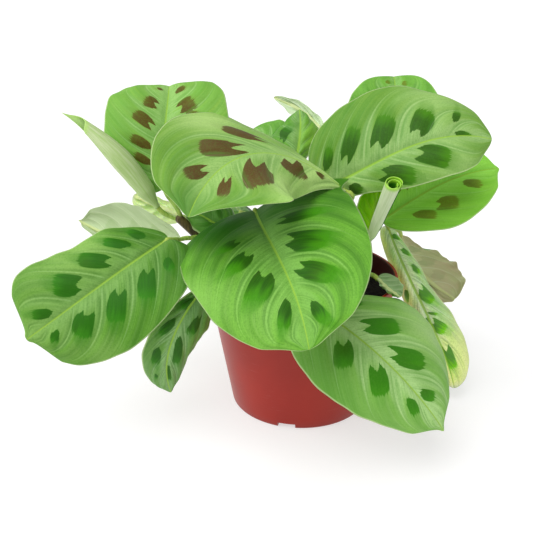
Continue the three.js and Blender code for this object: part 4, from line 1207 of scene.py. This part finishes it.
def pot_material():
    """Terracotta-red moulded plastic: satin, with a faint orange-peel skin, scuffs and soft dust, darker
    towards the bottom, and painted shade that darkens the inside almost to black."""
    material, b, shader = new_material("pot_plastic", specular=0.35)
    shader.inputs["Sheen Weight"].default_value = 0.12
    shader.inputs["Sheen Roughness"].default_value = 0.3
    cloud = b.noise(b.place(), 26.0, 3.0, 0.55)
    grain = b.noise(b.place(), 1400.0, 2.0, 0.6)
    scuff = b.noise(b.scaled(60.0, 60.0, 900.0), 1.0, 3.0, 0.7)
    height = b.split(b.place())[2]
    colour = b.mix(b.ramp(cloud, 0.3, 0.7), srgb(150, 26, 6), srgb(160, 32, 10))
    colour = b.mix(b.ramp(scuff, 0.62, 0.8, 0.0, 0.12), colour, srgb(214, 150, 136))
    # Darker towards the bottom, over the lowest 6 mm
    colour = b.mix(b.ramp(height, 0.0, 0.006, 0.35, 0.0), colour, srgb(120, 44, 36))
    # Painted shade: the inner wall is darkened almost to black, where shade falls inside the pot
    radius = b.add("ShaderNodeVectorMath", {0: b.scaled(1.0, 1.0, 0.0)}, operation="LENGTH").outputs["Value"]
    wall = b.plus(b.times(height, POT_SLOPE), (BASE_RADIUS - 0.5 * POT_WALL) * MM)
    inside = b.times(b.ramp(b.minus(wall, radius), 0.0, 0.0003), b.ramp(height, 0.005, 0.006))
    colour = b.mix(b.times(inside, 0.95), colour, srgb(40, 8, 6))
    b.finish(shader, colour, b.plus(0.34, b.times(cloud, 0.14)), grain, 0.12, 0.0003)
    return material


def lathe_points(profile, segments):
    """Rings of points: each profile point (radius, height) carried round the vertical axis."""
    angle = np.linspace(0, 2 * math.pi, segments, endpoint=False)
    profile = np.array(profile, float)
    x = profile[:, :1] * np.cos(angle)
    y = profile[:, :1] * np.sin(angle)
    z = np.broadcast_to(profile[:, 1:], x.shape)
    return np.stack([x, y, z], -1)


def rounded(profile, corner, radius, steps=5):
    """The profile with one corner replaced by an arc-like curve that cuts it at the radius."""
    before, at, after = (np.array(profile[corner + k], float) for k in (-1, 0, 1))
    start = at + unit(before - at) * radius
    end = at + unit(after - at) * radius
    t = np.linspace(0, 1, steps)[:, None]
    curve = (1 - t) ** 2 * start + 2 * t * (1 - t) * at + t ** 2 * end
    return list(profile[:corner]) + [tuple(p) for p in curve] + list(profile[corner + 1:])


def pot_piece():
    """The pot: a turned cup with a rolled lip, less four drain channels across its base's edge."""
    foot = POT_HEIGHT - LIP_HEIGHT
    neck = BASE_RADIUS + POT_SLOPE * foot
    profile = [
        (0.001, 0), (BASE_RADIUS, 0), (neck, foot), (neck + LIP_STEP, foot + 0.5), (RIM_RADIUS, POT_HEIGHT),
        (RIM_RADIUS - LIP_STEP - POT_WALL, POT_HEIGHT),
        (BASE_RADIUS + POT_SLOPE * POT_FLOOR - POT_WALL, POT_FLOOR), (0.001, POT_FLOOR)]
    for corner, radius in ((6, 2.0), (5, 0.8), (4, 0.8), (3, 0.25), (2, 0.6), (1, 1.6)):
        profile = rounded(profile, corner, radius)
    walls = []
    for (r0, z0), (r1, z1) in zip(profile[:-1], profile[1:]):
        pieces = max(1, int(math.hypot(r1 - r0, z1 - z0) / 5))
        walls += [(r0 + (r1 - r0) * n / pieces, z0 + (z1 - z0) * n / pieces) for n in range(pieces)]
    rings = lathe_points(walls[1:], POT_SEGMENTS)
    points = np.concatenate([rings.reshape(-1, 3), [(0, 0, 0), (0, 0, POT_FLOOR)]])
    faces, _ = ring_faces(len(rings), POT_SEGMENTS, True)
    pot = mesh_piece("pot_shell", points, outward(points, faces), [pot_material()])
    cutter = channel_cutter()
    cut = pot.modifiers.new("channels", "BOOLEAN")
    cut.object = cutter
    cut.operation = "DIFFERENCE"
    cut.solver = "EXACT"
    apply_modifiers(pot)
    bpy.data.objects.remove(cutter)
    pot.data.shade_smooth()
    pot.data.set_sharp_from_angle(angle=math.radians(38))
    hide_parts("pot")
    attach(pot, "root")


def channel_cutter():
    """Bars along each drain channel and a round drain hole near its inner end."""
    box = np.array([
        (x, y * NOTCH_WIDTH / 2, z * NOTCH_HEIGHT)
        for x in (CHANNEL_START, BASE_RADIUS + 4) for y in (-1, 1) for z in (-1, 1)])
    box_faces = [[0, 1, 3, 2], [4, 6, 7, 5], [0, 4, 5, 1], [2, 3, 7, 6], [0, 2, 6, 4], [1, 5, 7, 3]]
    angle = np.linspace(0, 2 * math.pi, DRAIN_SIDES, endpoint=False)
    x = CHANNEL_START + 1.6 * DRAIN_RADIUS + DRAIN_RADIUS * np.cos(angle)
    y = DRAIN_RADIUS * np.sin(angle)
    drum = np.concatenate([np.stack([x, y, np.full(DRAIN_SIDES, z)], 1) for z in (1.0, 9.0)])
    drum_faces = ring_faces(2, DRAIN_SIDES, False)[0]
    drum_faces += [list(range(DRAIN_SIDES))[::-1], list(range(DRAIN_SIDES, 2 * DRAIN_SIDES))]
    points = []
    faces = []
    for n in range(NOTCH_COUNT):
        turn = math.radians(NOTCH_TURN + 360 * n / NOTCH_COUNT)
        cos, sin = math.cos(turn), math.sin(turn)
        spin = np.array([[cos, sin, 0], [-sin, cos, 0], [0, 0, 1]])
        for shape, its_faces in ((box, box_faces), (drum, drum_faces)):
            first = sum(len(p) for p in points)
            points.append(shape @ spin)
            faces += [[first + k for k in face] for face in its_faces]
    return mesh_piece("channel_cutter", np.concatenate(points), faces, [])


def apply_modifiers(piece):
    graph = bpy.context.evaluated_depsgraph_get()
    finished = bpy.data.meshes.new_from_object(piece.evaluated_get(graph))
    piece.modifiers.clear()
    piece.data = finished


def lumps(x, y, seed, size):
    """Rough ground: over five octaves n, the size of a sum of seven waves in random directions,
    |sin + sin + ...| / 3 / 1.7 ** n."""
    rng = np.random.default_rng(seed)
    total = np.zeros_like(x)
    for octave in range(5):
        angles = rng.uniform(0, 2 * math.pi, 7)
        starts = rng.uniform(0, 2 * math.pi, 7)
        turn = 2 * math.pi * 1.75 ** octave / size
        wave = sum(
            np.sin(turn * (x * math.cos(angle) + y * math.sin(angle)) + start)
            for angle, start in zip(angles, starts))
        total += np.abs(wave / 3.0) / 1.7 ** octave
    return total


def soil_material():
    """Damp dark compost: near-black crumbs with a few pale specks."""
    material, b, shader = new_material("compost", specular=0.3)
    crumbs = b.noise(b.place(), 420.0, 5.0, 0.7)
    specks = b.add("ShaderNodeTexVoronoi", {"Vector": b.place(), "Scale": 260.0}).outputs["Distance"]
    pick = b.noise(b.place(), 130.0, 1.0, 0.5)
    colour = b.mix(b.ramp(crumbs, 0.35, 0.7), srgb(8, 6, 5), srgb(32, 23, 17))
    bright = b.times(b.ramp(specks, 0.12, 0.2, 1.0, 0.0), b.ramp(pick, 0.6, 0.66), 0.8)
    colour = b.mix(bright, colour, srgb(176, 160, 140))
    b.finish(shader, colour, b.minus(0.95, b.times(crumbs, 0.15)), crumbs, 0.9, 0.0012)
    return material


def soil_piece():
    """The compost: a drum with a rough mounded top. Its height is SOIL_TOP +
    SOIL_MOUND * (1 - (r / wide) ** 2) + 0.9 * (lumps - 1.1), and the lumps fade out at the wall."""
    bottom = POT_FLOOR + SOIL_GAP
    wide, narrow = (BASE_RADIUS + POT_SLOPE * z - POT_WALL - SOIL_GAP for z in (SOIL_TOP, bottom))
    corners = ((0.6, SOIL_TOP), (wide, SOIL_TOP), (narrow, bottom), (0.6, bottom))
    spans = [np.linspace(corners[n], corners[n + 1], count) for n, count in enumerate((SOIL_ROWS, 16, 8))]
    radii, heights = np.concatenate([spans[0], spans[1][1:], spans[2][1:]]).T[..., None]
    angle = np.linspace(0, 2 * math.pi, SOIL_COLUMNS, endpoint=False)
    x = radii * np.cos(angle)
    y = radii * np.sin(angle)
    dome = SOIL_MOUND * (1 - (radii / wide) ** 2)
    rough = (lumps(x, y, 5, 9.0) - 1.1) * 0.9
    top = (np.arange(len(radii)) < SOIL_ROWS)[:, None]
    z = heights + np.where(top, dome + rough * smooth((wide - radii) / 4), 0.0)
    rings = np.stack([x, y, z], -1)
    points = np.concatenate([rings.reshape(-1, 3), [(0, 0, z[0].mean()), (0, 0, bottom)]])
    faces, _ = ring_faces(len(rings), SOIL_COLUMNS, True)
    piece = mesh_piece("compost_bed", points, outward(points, faces), [soil_material()])
    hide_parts("soil")
    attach(piece, "root")


def build_plant():
    stem_skin = stem_material()
    petiole_skin = petiole_material()
    for name in STEMS:
        stem_piece(name, stem_skin)
    for seed, (name, values) in enumerate(BLADES.items()):
        blade = blade_piece(name, seed + 1)
        into = blade.rib(np.array([0.0]))[1][0]
        place, sag = values["leaves_at"], values.get("sag", 0.0)
        petiole_piece(name, blade.base, into, values["stem"], place, petiole_skin, sag)
    base, tip, bow = (np.array(LEFT_ROLLED[key], float) for key in ("base", "tip", "bow"))
    petiole_piece("left_rolled", base, unit(tip - base + 4 * bow), "left", 0.72, petiole_skin)
    rolled_leaves()


def studio():
    """A pale floor, a white surround, a broad soft light from above and a weak one from the left."""
    floor_material, b, shader = new_material("pale_floor", roughness=0.6, specular=0.2)
    tint = b.noise(b.place(), 3.0, 2.0, 0.5)
    b.put(shader.inputs["Base Color"], b.mix(tint, (0.42, 0.42, 0.42, 1), (0.46, 0.46, 0.46, 1)))
    shader.inputs["Emission Color"].default_value = (1.0, 1.0, 1.0, 1.0)
    shader.inputs["Emission Strength"].default_value = 0.6
    corners = [(x, y, FLOOR_HEIGHT) for x, y in ((-3000, -2500), (3000, -2500), (3000, 6000), (-3000, 6000))]
    floor = mesh_piece("pale_floor", corners, [[0, 1, 2, 3]], [floor_material])
    world = bpy.data.worlds.new("studio")
    world.use_nodes = True
    background = next(node for node in world.node_tree.nodes if node.type == "BACKGROUND")
    background.inputs[0].default_value = (1.0, 1.0, 1.0, 1)
    background.inputs[1].default_value = WORLD_STRENGTH
    bpy.context.scene.world = world
    soft_light("window_light", SUN_STRENGTH, SUN_WIDTH, SUN_FROM)
    soft_light("side_light", SIDE_STRENGTH, SIDE_WIDTH, SIDE_FROM)


def soft_light(name, strength, width, direction):
    data = bpy.data.lights.new(name, "SUN")
    data.energy = strength
    data.angle = math.radians(width)
    light = bpy.data.objects.new(name, data)
    bpy.context.scene.collection.objects.link(light)
    x, y, z = direction
    light.rotation_euler = (math.atan2(math.hypot(x, y), z), 0, math.atan2(y, x) + math.pi / 2)


def camera():
    """The camera looks along +Y and down, at the pitch and distance that the pot's ellipses give."""
    data = bpy.data.cameras.new("camera")
    data.lens = CAMERA_LENS
    data.sensor_width = 36.0
    data.clip_start = 0.01
    data.clip_end = 20.0
    view = bpy.data.objects.new("camera", data)
    bpy.context.scene.collection.objects.link(view)
    pitch = math.radians(CAMERA_PITCH)
    x, y, z = CAMERA_AIM
    back = CAMERA_DISTANCE * math.cos(pitch)
    up = CAMERA_DISTANCE * math.sin(pitch)
    view.location = (x * MM, (y - back) * MM, (z + up) * MM)
    view.rotation_euler = (math.pi / 2 - pitch, 0, 0)
    bpy.context.scene.camera = view


camera()
build_plant()
pot_piece()
soil_piece()
studio()
bpy.context.scene.view_settings.view_transform = "Standard"
